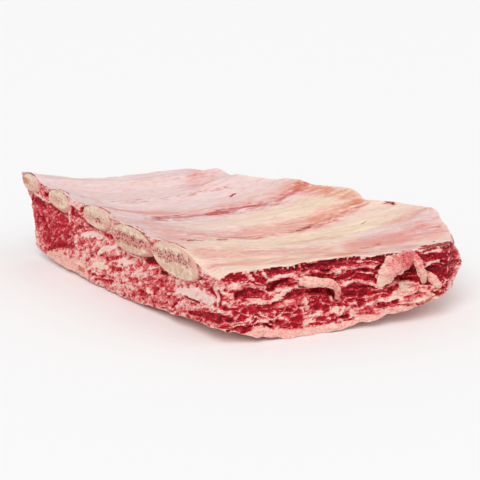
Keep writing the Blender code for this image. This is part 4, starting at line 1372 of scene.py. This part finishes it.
def inward_rings(u, v, w, sink, steps):
    """Rings that draw in from the border towards the middle of the plan, sunk by some mm each."""
    rings = []
    for step, depth in zip(steps, np.broadcast_to(sink, len(steps))):
        ring_u, ring_v = 0.5 + (u - 0.5) * step, 0.5 + (v - 0.5) * step
        rings.append(slab(ring_u, ring_v, w(ring_u, ring_v)) - np.array([0.0, 0.0, depth]))
    return np.array(rings)


def stacked(masks, below, above):
    """Masks of the wall with those of the rings below and above it, eased over from the wall's own."""
    upward = np.arange(1.0, len(above) + 1.0)[:, None]
    downward = np.arange(len(below), 0.0, -1.0)[:, None]
    under, over = under_masks(below), under_masks(above)
    every = {}
    for key in WALL_MASKS:
        first = mix(masks[key][0], under[key], smooth(downward / EASE_RINGS))
        last = mix(masks[key][-1], over[key], smooth(upward / EASE_RINGS))
        every[key] = np.concatenate([first, masks[key], last])
    return every


def make_meat():
    """The wall from the fat cap's seam to the membrane, closed by rings that run inward at both ends."""
    u, v = stations(STATIONS)
    column = slab(u, v, np.ones_like(u))[..., 2] - slab(u, v, np.zeros_like(u))[..., 2]
    wall, masks = wall_rings(u, v, fat_share(u, v), 1.0 - UNDER_MEMBRANE / column, MEAT_ROWS)
    sink = UNDER_MEMBRANE + INWARD_SINK * smooth((1.0 - CAP_STEPS) / SINK_RUN)
    below = inward_rings(u, v, fat_share, -OVER_SEAM, CAP_STEPS)[::-1]
    above = inward_rings(u, v, lambda u, v: np.ones_like(u), sink, CAP_STEPS)
    rings = np.concatenate([below, wall, above])
    return ring_piece("marbled_meat", rings, RAW_MEAT, stacked(masks, below, above))


meat = make_meat()

# %% [markdown]
# ## The fat cap
#
# The cap is a soft sheet of fat that the slab rests on. Its wall carries on from the meat's, with the
# same masks, so that the two meet without a step, and its underside runs in to the middle.

# %% Fat cap
FAT_ROWS = 12
BASE_STEPS = np.linspace(1.0, 0.0, 46)[1:-1]    # rings of the underside, as shares of the plan
UNDER_SEAM = 0.5                # how far the cap's inner rings stay under the seam with the meat


def make_fat_cap():
    """The wall under the seam, with the underside below it and a sheet just under the seam above it."""
    u, v = stations(STATIONS)
    wall, masks = wall_rings(u, v, np.zeros_like(u), fat_share(u, v), FAT_ROWS)
    below = inward_rings(u, v, lambda u, v: np.zeros_like(u), 0.0, BASE_STEPS)[::-1]
    above = inward_rings(u, v, fat_share, UNDER_SEAM, CAP_STEPS)
    rings = np.concatenate([below, wall, above])
    return ring_piece("soft_fat_cap", rings, SOFT_FAT, stacked(masks, below, above))


fat_cap = make_fat_cap()

# %% [markdown]
# ## The ribs
#
# A rib is an oval tube that follows the slab's hollow top. Its sawn ends are what shows, so each end is
# closed by many rings drawn in to the middle, which carry the marrow and the pits of the spongy core.

# %% Ribs
BONE_SIDES = 120
BONE_RINGS = 24                 # rings of the shaft
SHAFT_INSET = 0.03              # share of the length at both ends which the rim takes up
END_STEPS = 26                  # rings of a sawn end
END_CORE = 0.04                 # size of the innermost one, as a share of the oval
RIM_ROUND = 0.9                 # radius of the sawn rim
RIM_STEPS = 3
MARK_CLOUDS, MARK_PUSH = 3.2, 0.55      # clouds that make the marks of a sawn end ragged, and how much
SKIN_STARTS, SKIN_EASE = 0.74, 0.30     # the bone's own skin, in shares of the oval from its middle
PIT_SIZE = 1.3                  # size of the pits in the marrow

# what shows on each sawn end: marks in shares of the oval, (across, upward, half width)
MARROW = {
    5: ((1.0, (-0.35, 0.30, 0.34), (0.15, 0.12, 0.34), (0.75, 0.0, 0.28)),
        (0.6, (-0.95, 0.3, 0.34), (-0.4, 0.4, 0.34))),
    4: ((1.25, (-0.88, 0.0, 0.40), (-0.1, 0.05, 0.42), (0.75, -0.1, 0.46)),),
    3: ((1.6, (-0.22, -0.10, 0.22), (-0.02, -0.12, 0.24)), (0.55, (-0.6, -0.1, 0.42), (0.6, -0.1, 0.46))),
    2: ((0.6, (-0.2, 0.0, 0.40), (0.3, 0.0, 0.40)),),
    1: ((0.3, (-0.5, 0.0, 0.5), (0.2, 0.0, 0.5)),),
}
BONE_TAN = {
    5: ((0.25, (-0.5, -0.5, 0.3), (0.4, -0.6, 0.3)),),
    4: ((0.4, (-0.3, -0.6, 0.4), (0.5, -0.6, 0.4)),),
    3: ((0.2, (-0.5, -0.5, 0.3), (0.4, -0.6, 0.3)),),
    2: ((0.2, (-0.3, -0.4, 0.3), (0.3, -0.5, 0.3)),),
    1: ((1.0, (0.45, 0.0, 0.40), (0.75, 0.0, 0.30)), (0.4, (-0.4, -0.4, 0.3), (0.2, -0.5, 0.3))),
}


def rib_ring(rib, t, scale, shift):
    """Oval ring of one rib at a share t of its length, drawn in by scale and shifted along the rib."""
    angles = np.linspace(0.0, 2.0 * math.pi, BONE_SIDES, endpoint=False)
    power = 2.0 / BONE_SQUARENESS
    across = scale * np.sign(np.cos(angles)) * np.abs(np.cos(angles)) ** power
    upward = scale * np.sign(np.sin(angles)) * np.abs(np.sin(angles)) ** power
    half_width, half_height = rib_size(rib, t)
    _, middle_y, middle_z = rib_middle(rib, t)
    aside = half_width * across
    end_slant = (far_x(middle_y + half_width) - far_x(middle_y - half_width)) / (2.0 * half_width)
    start = cut_x(middle_y + aside) - RIB_PROUD
    end = far_x(middle_y) + end_slant * aside - RIB_SHORT
    z = middle_z + RIB_ROLL[rib] * aside + half_height * upward
    return np.stack([mix(start, end, t) + shift, middle_y + aside, z], -1), across, upward


def rib_rings(rib):
    """Rings of the near end from its middle out, a rounded rim, the shaft, and the far end the same way."""
    rim = 1.0 - 2.0 * RIM_ROUND / RIB_THICKNESS[rib]
    rows = [(0.0, scale, 0.0) for scale in np.linspace(END_CORE, rim, END_STEPS)]
    for angle in np.linspace(0.0, math.pi / 2.0, RIM_STEPS + 1)[1:]:
        rows.append((0.0, mix(rim, 1.0, math.sin(angle)), RIM_ROUND * (1.0 - math.cos(angle))))
    shaft = [(t, 1.0, 0.0) for t in np.linspace(SHAFT_INSET, 1.0 - SHAFT_INSET, BONE_RINGS)]
    end = [(1.0, scale, -shift) for _, scale, shift in reversed(rows)]
    every = rows + shaft + end
    rings, across, upward = [np.array(part) for part in zip(*[rib_ring(rib, *row) for row in every])]
    return rings, across, upward, np.array([row[0] for row in every])[:, None] + np.zeros(BONE_SIDES)


def make_rib(rib):
    """A rib whose sawn ends carry marrow, tan and skin masks, and pits where the marrow shows."""
    number = RIB_NAMES[rib]
    rings, across, upward, t = rib_rings(rib)
    on_end = np.where((t < 0.01) | (t > 0.99), 1.0, 0.0)
    ragged = MARK_PUSH * (layered(rings / MARK_CLOUDS, 3, 500 + rib) - 0.5)
    marrow = on_end * strokes(MARROW[number], across + ragged, upward + ragged, soft=0.7)
    tan = on_end * strokes(BONE_TAN[number], across + ragged, upward + ragged)
    skin = on_end * smooth((np.hypot(across, upward) - SKIN_STARTS + ragged) / SKIN_EASE)
    pits = marrow * (0.5 * cells(rings / PIT_SIZE, 520) - 0.35)
    outward = np.where(t < 0.5, -1.0, 1.0)
    rings[..., 0] += outward * pits + 0.2 * on_end * (layered(rings / 6.0, 3, 560) - 0.5)
    return ring_piece(f"sawn_rib_{number}", rings, BONE, {"marrow": marrow, "tan": tan, "skin": skin})


ribs = [make_rib(rib) for rib in range(len(RIB_NAMES))]

# %% [markdown]
# ## The membrane
#
# Bones and fat on the inner side of the ribs are covered by a thin wet skin. It is a closed sheet of two
# grids, an outer and an inner one, that meet in a rounded, ragged rim which hangs a little over the walls.

# %% Masks of the membrane: strokes in plan, (x, y, half width)
BLOOD_STREAKS = (
    (1.1, (-42, 24, 4), (-20, 29, 5), (20, 31, 4), (60, 32, 4), (82, 40, 6)),
    (0.7, (-45, 22, 6), (-20, 25, 7), (10, 27, 5), (60, 28, 4)),
    (1.0, (-40, -33, 1.8), (-26, -34, 2.6)),
    (0.9, (-20, -33, 1.5), (-8, -31, 1.8)),
    (0.6, (0, -16, 2.5), (14, -15, 2.5)),
    (0.8, (-20, -27, 4), (20, -29, 4), (50, -25, 5), (80, -17, 5), (98, -12, 5)),
    (0.9, (62, -90, 3), (72, -88, 4)),
    (0.9, (84, -38, 1.8), (88, -37, 1.6)),
    (0.7, (92, -77, 2.5), (112, -73, 3), (124, -76, 2)),
    (0.8, (112, -18, 3), (118, -22, 3)),
    (0.5, (-35, 103, 1), (30, 97, 1)),
    (0.6, (-75, 75, 4), (-45, 76, 4), (0, 73, 2.5), (38, 68, 2)),
    (0.7, (45, -101, 3), (75, -103, 3)),
    (0.6, (40, -22, 4), (56, -22, 4)),
    (0.8, (-67, -26, 2), (-66, -44, 2)),
)
FLUSHED = (
    (1.0, (-60, 45, 14), (-25, 42, 14)),
    (0.6, (-70, 5, 10), (-45, 0, 18), (-45, -40, 14)),
    (0.6, (-15, 35, 8), (70, 36, 8)),
    (0.6, (-40, -78, 10), (-10, -80, 8), (30, -86, 10), (60, -95, 10)),
    (0.9, (55, -90, 10), (74, -86, 9)),
    (1.0, (60, -84, 11), (86, -82, 13), (114, -78, 13)),
    (0.8, (-40, -96, 8), (20, -100, 8), (90, -102, 9)),
    (0.7, (-30, -24, 9), (40, -20, 11), (90, -10, 10)),
    (0.5, (-55, -60, 10), (-45, -20, 12)),
    (0.6, (15, 85, 12), (32, 118, 10)),
    (0.5, (100, -60, 10), (122, -50, 10), (122, -80, 8)),
    (0.5, (20, -62, 8), (50, -58, 8)),
    (0.7, (70, 40, 8), (85, 20, 8), (98, -5, 8)),
    (0.6, (-10, -20, 6), (60, -22, 8)),
)
AMBER = (
    (0.9, (66, 44, 6), (80, 36, 6), (92, 12, 6), (99, -8, 5)),
    (0.7, (98, -6, 4), (80, -13, 4), (60, -16, 4)),
    (0.4, (30, -95, 8), (50, -98, 8)),
)
CREAMY = (
    (1.0, (-30, -55, 16), (40, -50, 18), (100, -50, 16)),
    (1.0, (-20, 5, 14), (30, 8, 16), (85, 8, 14)),
    (0.8, (-72, -62, 10), (-60, -80, 10)),
    (0.9, (-30, -100, 10), (60, -100, 10)),
    (0.7, (35, 50, 8), (60, 52, 8)),
    (0.7, (-10, 50, 6), (10, 46, 6)),
)
LILAC = (
    (1.0, (76, -74, 12), (100, -70, 15), (118, -66, 14)),
    (0.8, (50, -106, 6), (84, -106, 7)),
)
SLITS = (                       # slits in the skin, and the patch torn off at the near side
    (1.0, (-36, -35.5, 0.7), (-30, -33.5, 1.3), (-25, -35, 0.8)),
    (0.9, (-14, -31, 0.9), (-9, -31.5, 0.8)),
    (0.9, (26, 58.5, 0.8), (31, 61, 0.9)),
    (0.8, (84, -38.5, 1), (88, -36.5, 0.9)),
    (0.7, (110, -14, 1), (118, -22, 1)),
    (0.8, (45, -24, 1), (52, -22.5, 1)),
    (0.6, (-55, -42, 0.8), (-52, -46, 0.7)),
    (1.4, (90, -113.5, 2.0), (97, -112, 5.0), (105, -109, 7.0), (113, -105, 7.0)),
)
SKIN_STROKES = {                # each kind with the softness of its edges
    "blood": (BLOOD_STREAKS, 1.2), "flushed": (FLUSHED, 1.2), "amber": (AMBER, 1.2),
    "creamy": (CREAMY, 1.3), "lilac": (LILAC, 1.3),
}
LEVEL = np.array([1.0, 1.0, 0.0])       # flattens a place, so that the clouds depend on x and y alone
BEND_CLOUDS = np.array([14.0, 6.0, 6.0])        # clouds that push the strokes about, long along the ribs
FADE_CLOUDS = np.array([22.0, 7.0, 7.0])        # clouds that make them strong or weak


def membrane_masks(place):
    """Masks of the skin at each (x, y): strokes pushed about along the ribs, strong or weak by clouds."""
    x, y = place[..., 0], place[..., 1]
    spot = place * LEVEL
    moved = warped(spot, BEND_CLOUDS, 2.5, 600) - spot
    a, b = x + 1.5 * moved[..., 0], y + 0.7 * moved[..., 1]
    fade = layered(spot / FADE_CLOUDS, 3, 640)
    laid = {name: strokes(marks, a, b, soft=soft) for name, (marks, soft) in SKIN_STROKES.items()}
    warm_side = smooth((0.55 * x - y + 25.0) / 70.0)
    tone = 0.12 + 0.5 * warm_side + 0.45 * laid["creamy"] * (0.4 + fade) - 0.7 * laid["lilac"] * (0.5 + fade)
    tears = 1.4 * (fade - 0.5) + 1.8 * (layered(spot / 3.0, 3, 650) - 0.5)
    return {"tone": tone, "flush": laid["flushed"] * (0.3 + 1.1 * fade),
            "blood": laid["blood"] * (0.4 + 0.9 * fade), "amber": laid["amber"] * (0.3 + fade),
            "fold_shade_and_tears": strokes(SLITS, a, b, tears, 0.6)}


print("membrane:", sum(len(marks) for marks, _ in SKIN_STROKES.values()) + len(SLITS), "strokes")

# %% Membrane
SKIN_U, SKIN_V = 230, 260       # points along the ribs and across them
SKIN_THICKNESS = 0.6
SKIN_ROUND = 0.45               # how far the rim is rounded down
SKIN_OVERHANG = {"cut": -0.3, "end": 0.4, "near": 0.1, "side": 0.1}     # how far it passes each side
LENGTH, WIDTH = 165.0, 235.0    # rough size of the plan, which turns mm into shares
RIM_POINTS = (0.0, 0.2, 0.5, 0.9, 1.4, 2.1)     # close points at the rim, in mm from it
RIM_CALM = (0.4, 7.0)           # the relief starts this far outside the rim and is full after this run
RAGGED_RIM = 2.2                # how far the rim is drawn in and out
RAGGED_REACH = 1.6              # how far inward that is felt
WRINKLES = np.array([24.0, 3.4, 3.4])           # sizes of the relief, long along the ribs
WAVES = np.array([40.0, 9.0, 9.0])
LUMPS = 7.0


def spaced(count, length):
    """Shares from 0 to 1, evenly spaced inside, with a few more close to both ends."""
    close = np.array(RIM_POINTS) / length
    middle = np.linspace(close[-1], 1.0 - close[-1], count - 2 * len(close) + 2)[1:-1]
    return np.concatenate([close, middle, 1.0 - close[::-1]])


def skin_relief(spot, masks):
    """Height in mm of wrinkles, waves and lumps, lower along the blood streaks and in the slits."""
    wrinkles = layered(spot / WRINKLES, 4, 700) - 0.5
    waves = layered(spot / WAVES, 2, 710) - 0.5
    lumps = layered(spot / LUMPS, 3, 720) - 0.5
    relief = 1.2 * wrinkles + 1.4 * waves + 0.8 * lumps - 0.6 * np.clip(masks["blood"], 0.0, 1.0)
    return relief - 0.8 * masks["fold_shade_and_tears"] - 0.5


def skin_grids():
    """Outer and inner face of the skin: the slab's top, rounded down at the rim and ragged along it."""
    u, v = np.meshgrid(spaced(SKIN_U, LENGTH), spaced(SKIN_V, WIDTH), indexing="ij")
    wide_u = mix(-SKIN_OVERHANG["cut"] / LENGTH, 1.0 + SKIN_OVERHANG["end"] / LENGTH, u)
    wide_v = mix(-SKIN_OVERHANG["near"] / WIDTH, 1.0 + SKIN_OVERHANG["side"] / WIDTH, v)
    outer = slab(wide_u, wide_v, np.ones_like(u))
    from_u, from_v = np.minimum(u, 1.0 - u) * LENGTH, np.minimum(v, 1.0 - v) * WIDTH
    from_rim = np.minimum(from_u, from_v)
    inside = np.clip(SKIN_ROUND - from_rim, 0.0, SKIN_ROUND)
    drop = SKIN_ROUND - np.sqrt(SKIN_ROUND ** 2 - inside ** 2)
    masks = membrane_masks(outer)
    spot = outer * LEVEL
    ragged = RAGGED_RIM * (layered(spot / 2.4, 3, 740) - 0.55)
    outer[..., 0] += ragged * np.exp(-from_u / RAGGED_REACH) * np.where(u > 0.5, 1.0, -1.0)
    outer[..., 1] += ragged * np.exp(-from_v / RAGGED_REACH) * np.where(v > 0.5, 1.0, -1.0)
    inner = outer.copy()
    inner[..., 2] -= SKIN_THICKNESS + 0.7 * drop
    outer[..., 2] += skin_relief(spot, masks) * smooth((from_rim + RIM_CALM[0]) / RIM_CALM[1]) - drop
    return outer, inner, masks


def make_membrane():
    """Join the two faces of the skin by a band round their shared border."""
    outer, inner, masks = skin_grids()
    rows, columns = outer.shape[:2]
    index = np.arange(rows * columns).reshape(rows, columns)
    faces = np.stack([index[:-1, :-1], index[1:, :-1], index[1:, 1:], index[:-1, 1:]], -1).reshape(-1, 4)
    border = np.concatenate([index[:-1, 0], index[-1, :-1], index[:0:-1, -1], index[0, :0:-1]])
    after = np.roll(border, -1)
    under = rows * columns
    rim = np.stack([border + under, after + under, after, border], -1)
    quads = np.concatenate([faces, faces[:, ::-1] + under, rim])
    points = np.concatenate([outer.reshape(-1, 3), inner.reshape(-1, 3)])
    values = {key: np.concatenate([mask.ravel(), mask.ravel()]) for key, mask in masks.items()}
    return make_piece("thin_membrane", points, quads, np.zeros((0, 3), int), MEMBRANE, values)


membrane = make_membrane()

# %% [markdown]
# ## Strips torn loose
#
# Trimming leaves a flap, a finger of fat and two strands on the near side. Each is a flat oval carried
# along a curve, with an uneven edge, so that it keeps the weight of the real scrap.

# %% Strips
STRIP_SIDES, STRIP_RINGS = 44, 90
STRIP_BODY = 0.95               # size of a ring next to its plain oval
STRIP_ROUGH = 0.70              # how much the clouds swell or shrink it
STRIP_WRINKLES = 0.20           # how much the wrinkles draw it in
FATTY_EDGE = 0.80               # share of the half width from which the edge gets fatter

# control points (x, out from the near side, z), then widths, thicknesses and fat along them
STRIPS = {
    "torn_flap": (
        ((90.0, -5.0, 41.0), (82.0, 3.5, 43.0), (68.0, 6.2, 43.8), (64.0, 6.0, 34.0), (61.5, 1.5, 26.0)),
        (5.0, 11.0, 23.0, 17.0, 4.0), (3.5, 4.5, 4.5, 4.0, 2.5), (0.54, 0.55, 0.57, 0.70, 0.95),
    ),
    "fat_finger": (
        ((5.0, -4.0, 34.3), (12.0, 3.5, 33.6), (24.0, 3.5, 33.2), (35.5, 6.0, 32.6), (33.5, 1.5, 20.5)),
        (5.0, 8.5, 6.0, 5.5, 3.5), (4.0, 5.5, 5.5, 5.5, 3.0), (0.76, 0.82, 0.74, 0.66, 0.62),
    ),
    "strand_upper": (
        ((84.5, -4.0, 45.0), (86.0, 3.0, 42.0), (88.0, 4.0, 35.0), (91.5, 2.5, 28.0), (95.0, -4.0, 23.0)),
        (4.0, 6.0, 6.0, 6.5, 4.0), (4.0, 4.5, 4.5, 4.0, 3.5), (0.58, 0.66, 0.72, 0.78, 0.74),
    ),
    "strand_lower": (
        ((94.0, -5.0, 30.0), (97.0, 3.0, 28.0), (101.0, 3.5, 25.0), (103.0, 2.5, 20.5), (104.5, -3.0, 20.0)),
        (4.0, 7.0, 6.5, 6.0, 4.0), (3.5, 4.5, 4.5, 4.0, 3.0), (0.66, 0.74, 0.76, 0.76, 0.74),
    ),
}


def strip_course(path, share):
    """Spots along a curve on the near side, and the directions across the strip and through it."""
    x, out, z = bezier(path, share).T
    spots = np.stack([x, near_y(x) - out, z], -1)
    heading = np.gradient(spots, axis=0)
    heading = heading / np.linalg.norm(heading, axis=-1, keepdims=True)
    flat = np.stack([-heading[:, 2], np.zeros_like(x), heading[:, 0]], -1)
    flat = flat / np.linalg.norm(flat, axis=-1, keepdims=True)
    return spots, flat, np.cross(heading, flat)


def make_strip(name, path, widths, thicknesses, fats):
    """Rings along a curve; each ring is a flat oval across the heading, roughened by clouds."""
    share = np.linspace(0.0, 1.0, STRIP_RINGS)
    spots, flat, outward = strip_course(path, share)
    rows = (widths, thicknesses, fats)
    width, through, fat = [bezier([[value] for value in row], share) for row in rows]
    angle = np.linspace(0.0, 2.0 * math.pi, STRIP_SIDES, endpoint=False)
    wide = np.cos(angle)[None, :, None] * (width / 2.0)[..., None] * flat[:, None]
    thick = np.sin(angle)[None, :, None] * (through / 2.0)[..., None] * outward[:, None]
    rings = spots[:, None] + wide + thick
    rough = layered(rings / 4.5, 4, 800) - 0.5
    wrinkles = ridge(layered(rings / 3.0, 3, 810), 0.07)
    middle = rings.mean(1, keepdims=True)
    size = STRIP_BODY + STRIP_ROUGH * rough - STRIP_WRINKLES * wrinkles
    rings = middle + (rings - middle) * size[..., None]
    fat = fat + 0.24 * (layered(rings / 2.6, 3, 830) - 0.5) - 0.10 * wrinkles
    fat = fat + 0.14 * rise(np.abs(np.cos(angle)), FATTY_EDGE, 1.0)
    plain = np.zeros_like(fat)
    masks = {"fat": fat, "fold_shade_and_tears": plain, "cream": smooth((fat - 0.3) / 0.4), "bright": plain,
             "stain": plain, "spots": plain}
    return ring_piece(name, rings, RAW_MEAT, masks)


strips = [make_strip(name, *form) for name, form in STRIPS.items()]

# %% [markdown]
# ## Which solids the fine pieces stand for

# %% Ride and replace
for piece, node, slot in ((meat, "meat", "raw_meat"), (fat_cap, "fat_cap", "fat")):
    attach(piece, "root")
    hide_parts(node)
for rib, piece in enumerate(ribs):
    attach(piece, "root")
    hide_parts(f"rib_bone_{RIB_NAMES[rib]}")
for piece in strips:
    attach(piece, "root")
    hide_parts("meat")
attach(membrane, "root")
print("pieces dressed:", 3 + len(ribs) + len(strips))

# %% [markdown]
# ## Floor, light and camera
#
# Food on a plain pale ground needs soft light from all round, or the wet surface fills with glints. A
# wide lamp above the near corner shapes the slab, and a bright world fills the shadows.

# %% Floor
FLOOR_REACH = 8.0               # in metres, so that its edges lie out of sight
floor_mesh = bpy.data.meshes.new("floor")
floor_corners = [(FLOOR_REACH * x, FLOOR_REACH * y, 0) for x, y in ((-1, -1), (1, -1), (1, 1), (-1, 1))]
floor_mesh.from_pydata(floor_corners, [], [(0, 1, 2, 3)])
floor = bpy.data.objects.new("floor", floor_mesh)
bpy.context.scene.collection.objects.link(floor)
floor_finish, _, floor_shader = new_finish("pale floor")
floor_shader.inputs["Base Color"].default_value = (0.95, 0.95, 0.95, 1.0)
floor_shader.inputs["Roughness"].default_value = 0.8
floor_mesh.materials.append(floor_finish)
print("floor:", 2.0 * FLOOR_REACH, "m wide")

# %% Light
WORLD_STRENGTH = 0.62           # white light from all round, which fills the shadows
bpy.context.scene.view_settings.view_transform = "Standard"


def sun(name, place, strength, spread):
    """A wide sun that shines from a place towards the slab; its spread in degrees softens the shadows."""
    light = bpy.data.lights.new(name, "SUN")
    light.energy = strength
    light.angle = math.radians(spread)
    holder = bpy.data.objects.new(name, light)
    holder.location = place
    holder.rotation_euler = (-Vector(place)).to_track_quat("-Z", "Y").to_euler()
    bpy.context.scene.collection.objects.link(holder)


sun("key", place=(-0.7, -1.0, 1.3), strength=1.45, spread=40.0)
sun("fill", place=(1.2, -1.0, 0.9), strength=0.35, spread=60.0)
world = bpy.data.worlds.new("studio")
bpy.context.scene.world = world
world.use_nodes = True
background = world.node_tree.nodes["Background"]
background.inputs["Color"].default_value = (1.0, 1.0, 1.0, 1.0)
background.inputs["Strength"].default_value = WORLD_STRENGTH
print("world strength:", WORLD_STRENGTH)

# %% Camera
CAMERA_PLACE = (-0.35855, -0.91515, 0.3026)     # in metres
CAMERA_AIM = (0.00165, -0.00065, 0.030)
camera = bpy.data.cameras.new("camera")
camera.lens = 112.5
camera.sensor_width = 36.0
camera_holder = bpy.data.objects.new("camera", camera)
camera_holder.location = CAMERA_PLACE
sight = Vector(CAMERA_AIM) - Vector(CAMERA_PLACE)
camera_holder.rotation_euler = sight.to_track_quat("-Z", "Y").to_euler()
bpy.context.scene.collection.objects.link(camera_holder)
bpy.context.scene.camera = camera_holder
print("camera to aim, in m:", round(sight.length, 4))
